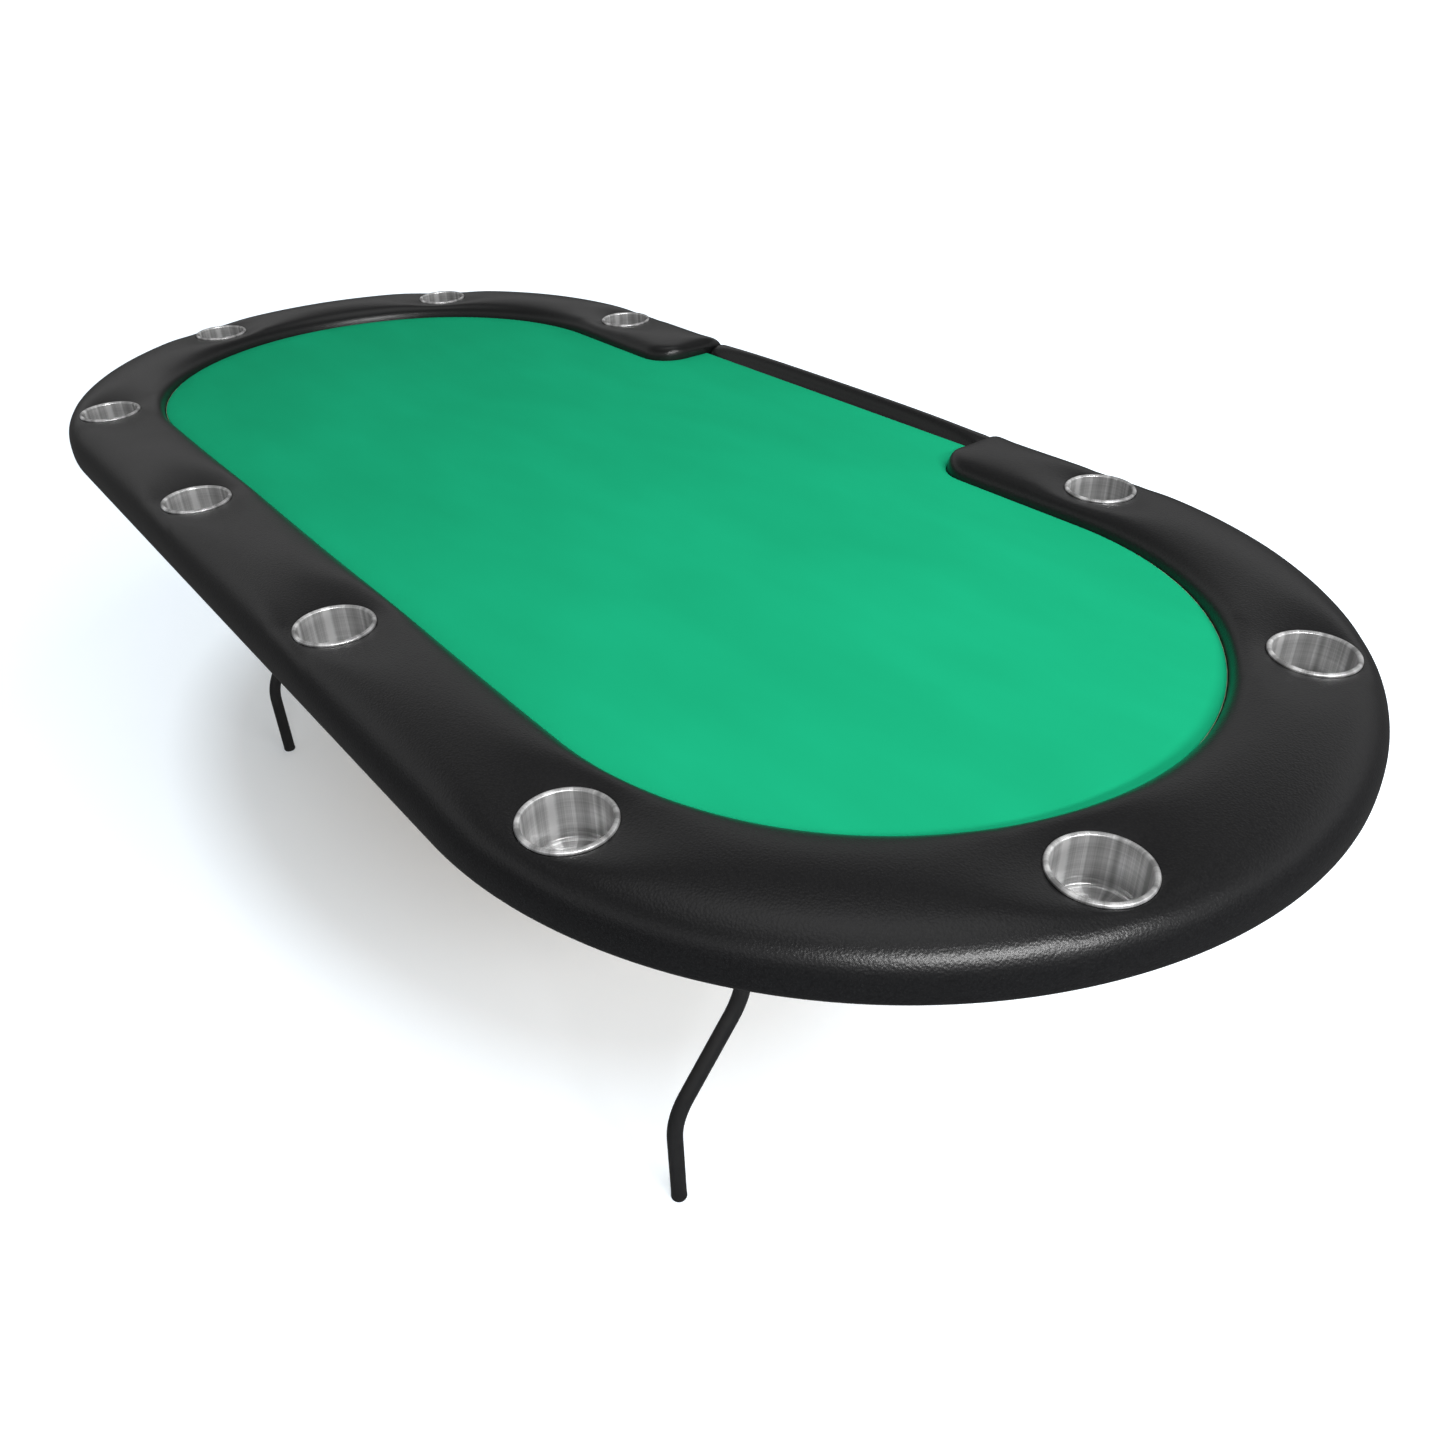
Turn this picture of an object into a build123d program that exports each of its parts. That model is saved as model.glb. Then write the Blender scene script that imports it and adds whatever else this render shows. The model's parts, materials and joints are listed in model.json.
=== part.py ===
"""Folding poker table: an upholstered oval top on two fold-away steel leg sets.

Units are millimetres.  The origin is on the floor under the middle of the top, +X runs
along the table, +Y points to the dealer's side and +Z is up.  Every piece is written as
its own STEP file, named as a person at the bench would name it.
"""
from build123d import *
import math
import os

os.makedirs("parts", exist_ok=True)

# ---------------------------------------------------------------- plan of the top
LENGTH = 2440.0
WIDTH = 1168.0
END_RADIUS = WIDTH / 2
HALF_STRAIGHT = (LENGTH - WIDTH) / 2
RAIL_WIDTH = 164.5            # outer edge to the felt
GAP_HALF = 355.0              # half the dealer's opening in the rail
RAIL_END_OUTER_R = 28.0       # plan radii of the rail's two ends
RAIL_END_INNER_R = 45.0
BOARD_INSET = 14.0            # boards stop this far inside the padded edge
RAIL_BOARD_INNER = 163.0
STRIP_WIDTH = 52.0
STRIP_BOARD_INNER = 40.0
FIT_GAP = 0.5                 # between the playing surface and the rail

# ---------------------------------------------------------------- heights
RAIL_BOTTOM = 697.0
COVER_T = 1.5
BASE_BOARD_T = 15.0
PLAY_BOARD_T = 18.0
FOAM_T = 7.0
FELT_T = 1.5
RAIL_CREST = 766.0
STRIP_TOP = 754.0
BOARD_BOTTOM = RAIL_BOTTOM + COVER_T
BOARD_SEAM = BOARD_BOTTOM + BASE_BOARD_T
PLAY_TOP = BOARD_SEAM + PLAY_BOARD_T
FOAM_TOP = PLAY_TOP + FOAM_T
FELT_TOP = FOAM_TOP + FELT_T
CREST_R = 26.0                # rounding of the padded top edges
BOTTOM_R = 10.0
STRIP_R = 24.0
FLANGE_INSET = 30.0           # how far the cover is turned under the base board

# ---------------------------------------------------------------- cup holders
CUP_RIM = 762.0
CUP_RIM_R = 50.0
CUP_BODY_R = 45.0
CUP_WALL = 1.0
CUP_DEPTH = 61.0
CUP_CORNER_R = 5.0
CUP_HOLE_R = 45.6
CUP_INSET = 76.7
CUP_PITCH = 503.0
CUPS_PER_HALF = 5
DIMPLE_FLOOR_R = 51.5         # the padding sinks to the rim round each holder
DIMPLE_R = 70.0
RIM_CLEARANCE = 0.3

# ---------------------------------------------------------------- folding legs
PIVOT_X = 699.0
PIVOT_Z = 681.0
TUBE_R = 11.0
TUBE_WALL = 1.5
FOOT_Y = 365.0
UPRIGHT_Y = 243.0
LOWER_BEND_Z = 162.0
UPPER_BEND_Z = 316.0
BEND_R = 105.0
FOOT_FLANGE = 6.0
FOOT_STEM = 24.0
PIVOT_R = 12.5
PIVOT_HALF = 265.0
STRETCHER_Z = 409.0
STRETCHER_R = 9.5
STRETCHER_WALL = 1.2
RUNNING_FIT = 0.06            # radial clearance of a turning joint

# ---------------------------------------------------------------- brackets and brace
BRACKET_T = 2.5
BRACKET_Y = 200.0
BRACKET_LONG = 84.0
BRACKET_WIDE = 52.0
EAR_T = 3.0
EAR_SPREAD = 17.0
EAR_R = 17.0
BRACE_X = 389.0               # brace pivot under the top
LINK_W = 20.0
LINK_T = 4.0
LINK_GAP = 0.3                # half the air between the two links
LINK_PIN_R = 4.0
RIVET_HEAD_R = 7.0
RIVET_HEAD_T = 2.0
HUB_R = 13.0
HUB_HALF = 12.0
COLLAR_T = 4.0
COLLAR_R = 13.0
SCREW_R = 2.0
SCREW_HEAD_R = 4.0
SCREW_HEAD_T = 2.0
SCREW_BITE = 11.0
BOARD_SCREW_BITE = 26.0
RAIL_SCREW_INSET = 120.0
STRIP_SCREW_INSET = 35.0
RAIL_END_SCREW = 60.0           # from the rail's end to its last screw


def save(part, name):
    """Label a finished piece and write it as its own STEP file."""
    part.label = name
    export_step(part, f"parts/{name}.step")


# ================================================================ plan outlines
def stadium(inset):
    """The table's oval outline, moved inwards by inset."""
    with BuildSketch() as plan:
        SlotCenterToCenter(2 * HALF_STRAIGHT, 2 * (END_RADIUS - inset))
    return plan.sketch


def rail_plan(outer, inner, end):
    """C-shaped outline of the rail, its outer, inner and end faces moved in by the amounts."""
    gap = GAP_HALF + end
    with BuildSketch() as plan:
        add(stadium(outer))
        add(stadium(RAIL_WIDTH - inner), mode=Mode.SUBTRACT)
        with Locations((0, END_RADIUS)):
            Rectangle(2 * gap, 2 * RAIL_WIDTH + 4, mode=Mode.SUBTRACT)
        ends = plan.vertices().filter_by(lambda v: abs(abs(v.X) - gap) < 0.01)
        rows = ends.group_by(Axis.Y)
        fillet(rows[0], radius=RAIL_END_INNER_R - end)
        ends = plan.vertices().filter_by(lambda v: abs(abs(v.X) - gap) < 0.01)
        fillet(ends.group_by(Axis.Y)[-1], radius=RAIL_END_OUTER_R - end)
    return plan.sketch


def play_plan():
    """Outline of the playing surface, which reaches out to the dealer's strip."""
    with BuildSketch() as plan:
        add(stadium(STRIP_WIDTH - 2))
        add(rail_plan(-FIT_GAP, -FIT_GAP, -FIT_GAP), mode=Mode.SUBTRACT)
        with Locations((0, END_RADIUS)):
            Rectangle(2 * GAP_HALF, 2 * (STRIP_WIDTH + FIT_GAP), mode=Mode.SUBTRACT)
    return plan.sketch


def oval_point(inset, run, side):
    """Point on an oval inside the edge, run mm along it from the middle of the front."""
    radius = END_RADIUS - inset
    bend = math.pi * radius
    if run <= HALF_STRAIGHT:
        return side * run, -radius
    if run <= HALF_STRAIGHT + bend:
        turn = (run - HALF_STRAIGHT) / radius - math.pi / 2
        return side * (HALF_STRAIGHT + radius * math.cos(turn)), radius * math.sin(turn)
    return side * (2 * HALF_STRAIGHT + bend - run), radius


CUP_CENTRES = [
    oval_point(CUP_INSET, CUP_PITCH * (step + 0.5), side) for side in (1, -1) for step in range(CUPS_PER_HALF)
]


def plate(sketch, bottom, top):
    """A flat board or sheet cut to the outline, from bottom to top."""
    with BuildPart() as board:
        with BuildSketch(Plane.XY.offset(bottom)):
            add(sketch)
        extrude(amount=top - bottom)
    return board.part


def cup_bores(bottom, top):
    """The ten round holes that the cup holders drop into."""
    with BuildPart() as bores:
        with BuildSketch(Plane.XY.offset(bottom)):
            with Locations(*CUP_CENTRES):
                Circle(CUP_HOLE_R)
        extrude(amount=top - bottom)
    return bores.part


# ================================================================ boards, foam and felt
with BuildPart() as base_board:
    add(plate(stadium(BOARD_INSET), BOARD_BOTTOM, BOARD_SEAM))
    add(cup_bores(BOARD_BOTTOM - 1, BOARD_SEAM + 1), mode=Mode.SUBTRACT)
save(base_board.part, "base_board")

save(plate(play_plan(), BOARD_SEAM, PLAY_TOP), "play_board")
save(plate(play_plan(), PLAY_TOP, FOAM_TOP), "play_foam")
save(plate(play_plan(), FOAM_TOP, FELT_TOP), "felt")

with BuildPart() as rail_board:
    add(plate(rail_plan(BOARD_INSET, RAIL_WIDTH - RAIL_BOARD_INNER, BOARD_INSET), BOARD_SEAM, PLAY_TOP))
    add(cup_bores(BOARD_SEAM - 1, PLAY_TOP + 1), mode=Mode.SUBTRACT)
save(rail_board.part, "rail_board")


# ================================================================ padded rail
def rail_form(skin):
    """Outer shape of the padded rail, all its faces moved in by skin."""
    with BuildPart() as form:
        with BuildSketch(Plane.XY.offset(RAIL_BOTTOM + skin)):
            add(rail_plan(skin, skin, skin))
        extrude(amount=RAIL_CREST - RAIL_BOTTOM - 2 * skin)
        fillet(form.faces().sort_by(Axis.Z)[-1].edges(), radius=CREST_R - skin)
        fillet(form.faces().sort_by(Axis.Z)[0].edges(), radius=BOTTOM_R - skin)
        rest = CUP_RIM - CUP_WALL - RIM_CLEARANCE - skin
        slope = (RAIL_CREST - rest - skin) / (DIMPLE_R - DIMPLE_FLOOR_R)
        with Locations(*[(x, y, rest) for x, y in CUP_CENTRES]):
            Cone(
                DIMPLE_FLOOR_R, DIMPLE_R + 2 / slope, (DIMPLE_R - DIMPLE_FLOOR_R) * slope + 2,
                align=(Align.CENTER, Align.CENTER, Align.MIN), mode=Mode.SUBTRACT,
            )
    return form.part


with BuildPart() as rail_foam:
    add(rail_form(COVER_T))
    add(plate(stadium(BOARD_INSET), BOARD_BOTTOM - 1, BOARD_SEAM), mode=Mode.SUBTRACT)
    add(plate(rail_plan(BOARD_INSET, -CREST_R, BOARD_INSET), BOARD_SEAM, PLAY_TOP), mode=Mode.SUBTRACT)
    add(cup_bores(RAIL_BOTTOM, RAIL_CREST), mode=Mode.SUBTRACT)
save(rail_foam.part, "rail_foam")

with BuildPart() as rail_cover:
    add(rail_form(0.0))
    add(rail_form(COVER_T), mode=Mode.SUBTRACT)
    add(plate(stadium(BOARD_INSET), BOARD_BOTTOM, BOARD_SEAM), mode=Mode.SUBTRACT)
    add(plate(stadium(FLANGE_INSET), RAIL_BOTTOM - 1, BOARD_BOTTOM), mode=Mode.SUBTRACT)
    add(cup_bores(RAIL_BOTTOM, RAIL_CREST), mode=Mode.SUBTRACT)
save(rail_cover.part, "rail_cover")


# ================================================================ dealer's edge strip
def strip_form(skin):
    """Half-round bar across the dealer's opening, its faces moved in by skin."""
    with BuildPart() as form:
        with BuildSketch(Plane.YZ) as section:
            with Locations((END_RADIUS - STRIP_WIDTH / 2, (RAIL_BOTTOM + STRIP_TOP) / 2)):
                Rectangle(STRIP_WIDTH - 2 * skin, STRIP_TOP - RAIL_BOTTOM - 2 * skin)
            fillet(section.vertices().group_by(Axis.Y)[-1], radius=STRIP_R - skin)
            fillet(section.vertices().group_by(Axis.Y)[0].sort_by(Axis.X)[-1], radius=BOTTOM_R - skin)
        extrude(amount=GAP_HALF + 0.7 * RAIL_END_OUTER_R, both=True)
        add(plate(rail_plan(0.0, 0.0, 0.0), RAIL_BOTTOM - 1, RAIL_CREST), mode=Mode.SUBTRACT)
    return form.part


def strip_board_block():
    """The wooden core of the dealer's strip."""
    with BuildPart() as block:
        with BuildSketch(Plane.XY.offset(BOARD_SEAM)):
            middle = END_RADIUS - (STRIP_BOARD_INNER + BOARD_INSET) / 2
            with Locations((0, middle)):
                Rectangle(2 * (GAP_HALF - FIT_GAP), STRIP_BOARD_INNER - BOARD_INSET)
        extrude(amount=PLAY_BOARD_T)
    return block.part


save(strip_board_block(), "strip_board")

with BuildPart() as strip_foam:
    add(strip_form(COVER_T))
    add(plate(stadium(BOARD_INSET), RAIL_BOTTOM, BOARD_SEAM), mode=Mode.SUBTRACT)
    add(strip_board_block(), mode=Mode.SUBTRACT)
save(strip_foam.part, "strip_foam")

with BuildPart() as strip_cover:
    add(strip_form(0.0))
    add(strip_form(COVER_T), mode=Mode.SUBTRACT)
    add(plate(stadium(BOARD_INSET), BOARD_BOTTOM, BOARD_SEAM), mode=Mode.SUBTRACT)
    add(plate(stadium(FLANGE_INSET), RAIL_BOTTOM - 1, BOARD_BOTTOM), mode=Mode.SUBTRACT)
save(strip_cover.part, "strip_cover")


# ================================================================ cup holders
def cup_holder(x, y):
    """Drawn steel cup with a rolled rim that rests on the rail."""
    outer = CUP_BODY_R
    inner = CUP_BODY_R - CUP_WALL
    floor = CUP_RIM - CUP_DEPTH
    with BuildPart() as cup:
        with BuildSketch(Plane(origin=(x, y, 0), x_dir=(1, 0, 0), z_dir=(0, -1, 0))) as section:
            with BuildLine():
                Polyline(
                    (0, floor), (outer, floor), (outer, CUP_RIM - CUP_WALL),
                    (CUP_RIM_R, CUP_RIM - CUP_WALL), (CUP_RIM_R, CUP_RIM),
                    (inner, CUP_RIM), (inner, floor + CUP_WALL),
                    (0, floor + CUP_WALL), (0, floor),
                )
            make_face()
            fillet(section.vertices().group_by(Axis.Y)[0].sort_by(Axis.X)[-1], radius=CUP_CORNER_R)
            inside = section.vertices().group_by(Axis.Y)[1].sort_by(Axis.X)
            fillet(inside.filter_by(lambda v: abs(v.X - inner) < 0.01), radius=CUP_CORNER_R - CUP_WALL)
        revolve(axis=Axis((x, y, 0), (0, 0, 1)))
    return cup.part


for number, (cup_x, cup_y) in enumerate(CUP_CENTRES, start=1):
    save(cup_holder(cup_x, cup_y), f"cup_holder_{number:02d}")


# ================================================================ leg sets
def tube(start, end, radius, wall):
    """Straight round tube between two points."""
    run = Vector(*end) - Vector(*start)
    with BuildPart() as pipe:
        with BuildSketch(Plane(origin=start, z_dir=run)):
            Circle(radius)
            if wall:
                Circle(radius - wall, mode=Mode.SUBTRACT)
        extrude(amount=run.length)
    return pipe.part


def leg_tube(x, side):
    """Wishbone leg: upright, slanted outwards, then straight down to the floor plug."""
    points = [
        (x, side * FOOT_Y, FOOT_FLANGE), (x, side * FOOT_Y, LOWER_BEND_Z),
        (x, side * UPRIGHT_Y, UPPER_BEND_Z), (x, side * UPRIGHT_Y, PIVOT_Z),
    ]
    with BuildPart() as leg:
        with BuildLine():
            FilletPolyline(*points, radius=BEND_R)
        with BuildSketch(Plane(origin=points[0], z_dir=(0, 0, 1))):
            Circle(TUBE_R)
            Circle(TUBE_R - TUBE_WALL, mode=Mode.SUBTRACT)
        sweep()
        add(tube((x, -PIVOT_HALF, PIVOT_Z), (x, PIVOT_HALF, PIVOT_Z), PIVOT_R, 0), mode=Mode.SUBTRACT)
    return leg.part


def stretcher_tube(x):
    """Cross tube between the uprights, its ends coped to fit round them."""
    with BuildPart() as bar:
        add(tube((x, -UPRIGHT_Y, STRETCHER_Z), (x, UPRIGHT_Y, STRETCHER_Z), STRETCHER_R, STRETCHER_WALL))
        for side in (-1, 1):
            low = (x, side * UPRIGHT_Y, STRETCHER_Z - 30)
            high = (x, side * UPRIGHT_Y, STRETCHER_Z + 30)
            add(tube(low, high, TUBE_R, 0), mode=Mode.SUBTRACT)
    return bar.part


def foot_plug(x, side):
    """Plastic plug: a rounded flange on the floor and a stem inside the tube."""
    with BuildPart() as plug:
        with BuildSketch(Plane((x, side * FOOT_Y, 0))):
            Circle(TUBE_R + 0.3)
        extrude(amount=FOOT_FLANGE)
        fillet(plug.faces().sort_by(Axis.Z)[0].edges(), radius=3.0)
        with BuildSketch(Plane((x, side * FOOT_Y, FOOT_FLANGE))):
            Circle(TUBE_R - TUBE_WALL)
        extrude(amount=FOOT_STEM)
    return plug.part


def end_plugs(x):
    """The two plastic plugs that close the pivot tube."""
    with BuildPart() as plugs:
        for side in (-1, 1):
            end = side * PIVOT_HALF
            add(tube((x, end - side * 12, PIVOT_Z), (x, end, PIVOT_Z), PIVOT_R - TUBE_WALL, 0))
            add(tube((x, end, PIVOT_Z), (x, end + side * 2, PIVOT_Z), PIVOT_R, 0))
    return plugs.part


def brace_collars(x):
    """Two rings welded to the stretcher, one each side of the brace's hub."""
    with BuildPart() as collars:
        for side in (-1, 1):
            near = side * (HUB_HALF + LINK_GAP)
            far = near + side * COLLAR_T
            add(tube((x, near, STRETCHER_Z), (x, far, STRETCHER_Z), COLLAR_R, COLLAR_R - STRETCHER_R))
    return collars.part


# ================================================================ folding brace
def brace_lengths():
    """Upper and lower link: straight when open, doubled back when the legs are folded."""
    open_span = math.hypot(PIVOT_X - BRACE_X, PIVOT_Z - STRETCHER_Z)
    folded_span = PIVOT_X - (PIVOT_Z - STRETCHER_Z) - BRACE_X
    return (open_span - folded_span) / 2, (open_span + folded_span) / 2


UPPER_LINK, LOWER_LINK = brace_lengths()


def link_plane(side, layer):
    """Plane of one flat link: origin on the brace pivot's axis, X down along the brace."""
    along = Vector(side * (PIVOT_X - BRACE_X), 0, STRETCHER_Z - PIVOT_Z)
    return Plane(origin=(side * BRACE_X, layer, PIVOT_Z), x_dir=along, z_dir=(0, 1, 0))


def upper_link(side):
    """Flat link from the bracket under the top to the knee, with its half of the knee rivet."""
    with BuildPart() as link:
        with BuildSketch(link_plane(side, LINK_GAP)):
            with Locations((UPPER_LINK / 2, 0)):
                SlotCenterToCenter(UPPER_LINK, LINK_W)
            Circle(LINK_PIN_R + RUNNING_FIT, mode=Mode.SUBTRACT)
        extrude(amount=LINK_T)
        with BuildSketch(link_plane(side, LINK_GAP + LINK_T)):
            with Locations((UPPER_LINK, 0)):
                Circle(RIVET_HEAD_R)
        extrude(amount=RIVET_HEAD_T)
    return link.part


def lower_link(side):
    """Flat link from the knee to a hub that turns on the stretcher."""
    x = side * PIVOT_X
    with BuildPart() as link:
        with BuildSketch(link_plane(side, -LINK_GAP - LINK_T)):
            with Locations((UPPER_LINK + LOWER_LINK / 2, 0)):
                SlotCenterToCenter(LOWER_LINK, LINK_W)
        extrude(amount=LINK_T)
        with BuildSketch(link_plane(side, -LINK_GAP - LINK_T)):
            with Locations((UPPER_LINK, 0)):
                Circle(RIVET_HEAD_R)
        extrude(amount=-RIVET_HEAD_T)
        add(tube((x, -HUB_HALF, STRETCHER_Z), (x, HUB_HALF, STRETCHER_Z), HUB_R, 0))
        bore = tube((x, -HUB_HALF, STRETCHER_Z), (x, HUB_HALF, STRETCHER_Z), STRETCHER_R + RUNNING_FIT, 0)
        add(bore, mode=Mode.SUBTRACT)
    return link.part


def brace_pin(side):
    """Rivet that hangs the upper link on its bracket."""
    x = side * BRACE_X
    start = LINK_GAP
    end = 2 * LINK_GAP + LINK_T + EAR_T
    with BuildPart() as pin:
        add(tube((x, start, PIVOT_Z), (x, end, PIVOT_Z), LINK_PIN_R, 0))
        add(tube((x, end, PIVOT_Z), (x, end + RIVET_HEAD_T, PIVOT_Z), RIVET_HEAD_R, 0))
    return pin.part


# ================================================================ brackets and screws
def hole_places(x, y, long, wide):
    """The four screw holes of a bracket's plate."""
    return [(x + i * (long / 2 - 9), y + j * (wide / 2 - 8)) for i in (-1, 1) for j in (-1, 1)]


def ear(x, y, thickness, radius, bore):
    """Upright ear with a round end and a bearing hole, hanging from a plate."""
    top = BOARD_BOTTOM - BRACKET_T
    with BuildPart() as lug:
        with BuildSketch(Plane(origin=(x, y, PIVOT_Z), x_dir=(1, 0, 0), z_dir=(0, -1, 0))):
            Circle(radius)
            with Locations((0, (top - PIVOT_Z) / 2)):
                Rectangle(2 * radius, top - PIVOT_Z)
            Circle(bore, mode=Mode.SUBTRACT)
        extrude(amount=-thickness)
    return lug.part


def leg_bracket(x, y):
    """Pressed U bracket that carries the pivot tube under the base board."""
    with BuildPart() as bracket:
        with BuildSketch(Plane((x, y, BOARD_BOTTOM - BRACKET_T))):
            RectangleRounded(BRACKET_LONG, BRACKET_WIDE, 6)
        extrude(amount=BRACKET_T)
        with Locations(*[(i, j, BOARD_BOTTOM) for i, j in hole_places(x, y, BRACKET_LONG, BRACKET_WIDE)]):
            Hole(SCREW_R + 0.2, depth=2 * BRACKET_T)
        for spread in (-EAR_SPREAD, EAR_SPREAD):
            add(ear(x, y + spread - EAR_T / 2, EAR_T, EAR_R, PIVOT_R + RUNNING_FIT))
    return bracket.part


def brace_bracket(x):
    """Small angle bracket under the top that holds the upper link."""
    with BuildPart() as bracket:
        with BuildSketch(Plane((x, 0, BOARD_BOTTOM - BRACKET_T))):
            RectangleRounded(2 * (LINK_W - 1), BRACKET_WIDE, 6)
        extrude(amount=BRACKET_T)
        places = hole_places(x, 0, 2 * (LINK_W - 1), BRACKET_WIDE)
        with Locations(*[(i, j, BOARD_BOTTOM) for i, j in places]):
            Hole(SCREW_R + 0.2, depth=2 * BRACKET_T)
        add(ear(x, 2 * LINK_GAP + LINK_T, EAR_T, LINK_W / 2, LINK_PIN_R))
    return bracket.part


def screws(places, head_top, bite):
    """Pan-head wood screws driven upwards, each one a separate solid."""
    with BuildPart() as group:
        with BuildSketch(Plane.XY.offset(head_top - SCREW_HEAD_T)):
            with Locations(*places):
                Circle(SCREW_HEAD_R)
        extrude(amount=SCREW_HEAD_T)
        with BuildSketch(Plane.XY.offset(head_top)):
            with Locations(*places):
                Circle(SCREW_R)
        extrude(amount=bite)
    return group.part


bracket_places = []
for side, hand in ((1, "right"), (-1, "left")):
    leg_x = side * PIVOT_X
    for way, place in ((-1, "front"), (1, "rear")):
        save(leg_bracket(leg_x, way * BRACKET_Y), f"leg_bracket_{hand}_{place}")
        bracket_places += hole_places(leg_x, way * BRACKET_Y, BRACKET_LONG, BRACKET_WIDE)
        save(leg_tube(leg_x, way), f"leg_tube_{hand}_{place}")
        save(foot_plug(leg_x, way), f"foot_plug_{hand}_{place}")
    save(brace_bracket(side * BRACE_X), f"brace_bracket_{hand}")
    bracket_places += hole_places(side * BRACE_X, 0, 2 * (LINK_W - 1), BRACKET_WIDE)
    pivot = tube((leg_x, -PIVOT_HALF, PIVOT_Z), (leg_x, PIVOT_HALF, PIVOT_Z), PIVOT_R, TUBE_WALL)
    save(pivot, f"pivot_tube_{hand}")
    save(end_plugs(leg_x), f"pivot_plugs_{hand}")
    save(stretcher_tube(leg_x), f"stretcher_tube_{hand}")
    save(brace_collars(leg_x), f"brace_collars_{hand}")
    save(upper_link(side), f"upper_brace_link_{hand}")
    save(lower_link(side), f"lower_brace_link_{hand}")
    save(brace_pin(side), f"brace_pin_{hand}")

save(screws(bracket_places, BOARD_BOTTOM - BRACKET_T, SCREW_BITE), "bracket_screws")

board_places = [(0, -END_RADIUS + RAIL_SCREW_INSET)]
board_places += [
    oval_point(RAIL_SCREW_INSET, CUP_PITCH * step, side) for side in (1, -1) for step in range(1, CUPS_PER_HALF)
]
board_places += [(side * (GAP_HALF + RAIL_END_SCREW), END_RADIUS - RAIL_SCREW_INSET) for side in (1, -1)]
board_places += [(x, END_RADIUS - STRIP_SCREW_INSET) for x in (-250, 0, 250)]
board_places += [(x, y) for x in (-800, -270, 270, 800) for y in (-280, 280)]
save(screws(board_places, BOARD_BOTTOM, BOARD_SCREW_BITE), "board_screws")
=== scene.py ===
"""Looks of the folding poker table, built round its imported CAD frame.

The rail's leatherette, the dealer's strip, the playing cloth, the cup holders, the screws
and the staples are made here.  Boards, tubes, brackets and plugs stay as they come from
CAD and get their finishes.  Lengths are metres.
"""
import json
import math

import bmesh
import bpy
from mathutils import Matrix, Vector
from mathutils.geometry import delaunay_2d_cdt


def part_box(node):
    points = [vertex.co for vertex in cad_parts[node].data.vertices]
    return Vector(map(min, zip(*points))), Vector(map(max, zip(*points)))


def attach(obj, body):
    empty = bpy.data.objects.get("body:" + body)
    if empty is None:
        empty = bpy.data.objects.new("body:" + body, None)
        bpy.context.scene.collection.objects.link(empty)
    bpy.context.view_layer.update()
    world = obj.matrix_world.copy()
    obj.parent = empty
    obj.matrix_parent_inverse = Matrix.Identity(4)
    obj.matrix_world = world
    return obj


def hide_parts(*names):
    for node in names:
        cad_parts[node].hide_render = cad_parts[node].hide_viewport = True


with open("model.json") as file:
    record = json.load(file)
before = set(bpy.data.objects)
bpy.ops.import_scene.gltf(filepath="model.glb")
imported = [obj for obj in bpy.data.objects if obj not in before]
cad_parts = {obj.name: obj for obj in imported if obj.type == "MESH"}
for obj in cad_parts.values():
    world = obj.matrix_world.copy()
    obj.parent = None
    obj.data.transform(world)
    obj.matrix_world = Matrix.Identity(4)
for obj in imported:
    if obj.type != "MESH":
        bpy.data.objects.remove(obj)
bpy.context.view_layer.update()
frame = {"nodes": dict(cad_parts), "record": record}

MM = 0.001
NODES = frame["nodes"]

# ------------------------------------------------------------------ sizes from the frame
rail_low, rail_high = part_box("rail_cover")
rail_board_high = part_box("rail_board")[1]
felt_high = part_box("felt")[1]
strip_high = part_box("strip_cover")[1]
strip_board_low, strip_board_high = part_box("strip_board")
board_low, board_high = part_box("base_board")

GAP = 0.5 * MM                            # running gap between the fitted pieces
COVER = 1.5 * MM                          # thickness of the leatherette
END_R = rail_high.y                       # outer radius of the oval's ends
STRAIGHT = rail_high.x - rail_high.y      # half the straight run
CREST = rail_high.z
UNDER = rail_low.z
BOARD_SEAM = board_high.z
BOARD_BOTTOM = board_low.z
BOARD_INSET = END_R - board_high.y
RAIL_BOARD_TOP = rail_board_high.z
FELT_TOP = felt_high.z
FELT_R = felt_high.x - STRAIGHT           # radius of the playing surface's ends
FELT_BACK = felt_high.y                   # the playing surface's edge at the dealer's strip
RAIL_W = END_R - FELT_R - GAP
STRIP_W = END_R - FELT_BACK - GAP
GAP_HALF = strip_board_high.x + GAP       # half the dealer's opening
STRIP_TOP = strip_high.z

CUP_NAMES = [f"cup_holder_{n:02d}" for n in range(1, 11)]
CUP_BOXES = [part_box(name) for name in CUP_NAMES]
CUP_CENTRES = [((low + high) / 2).to_2d() for low, high in CUP_BOXES]
CUP_RIM = CUP_BOXES[0][1].z
CUP_R = (CUP_BOXES[0][1].x - CUP_BOXES[0][0].x) / 2
CUP_DEPTH = CUP_RIM - CUP_BOXES[0][0].z
CUP_LINE = END_R + CUP_CENTRES[0].y       # inset of the line that the cups stand on
CUP_PITCH = 2 * CUP_CENTRES[0].x
CELLS_PER_PITCH = 42
CELL = CUP_PITCH / CELLS_PER_PITCH        # mesh spacing along the rail

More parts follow.
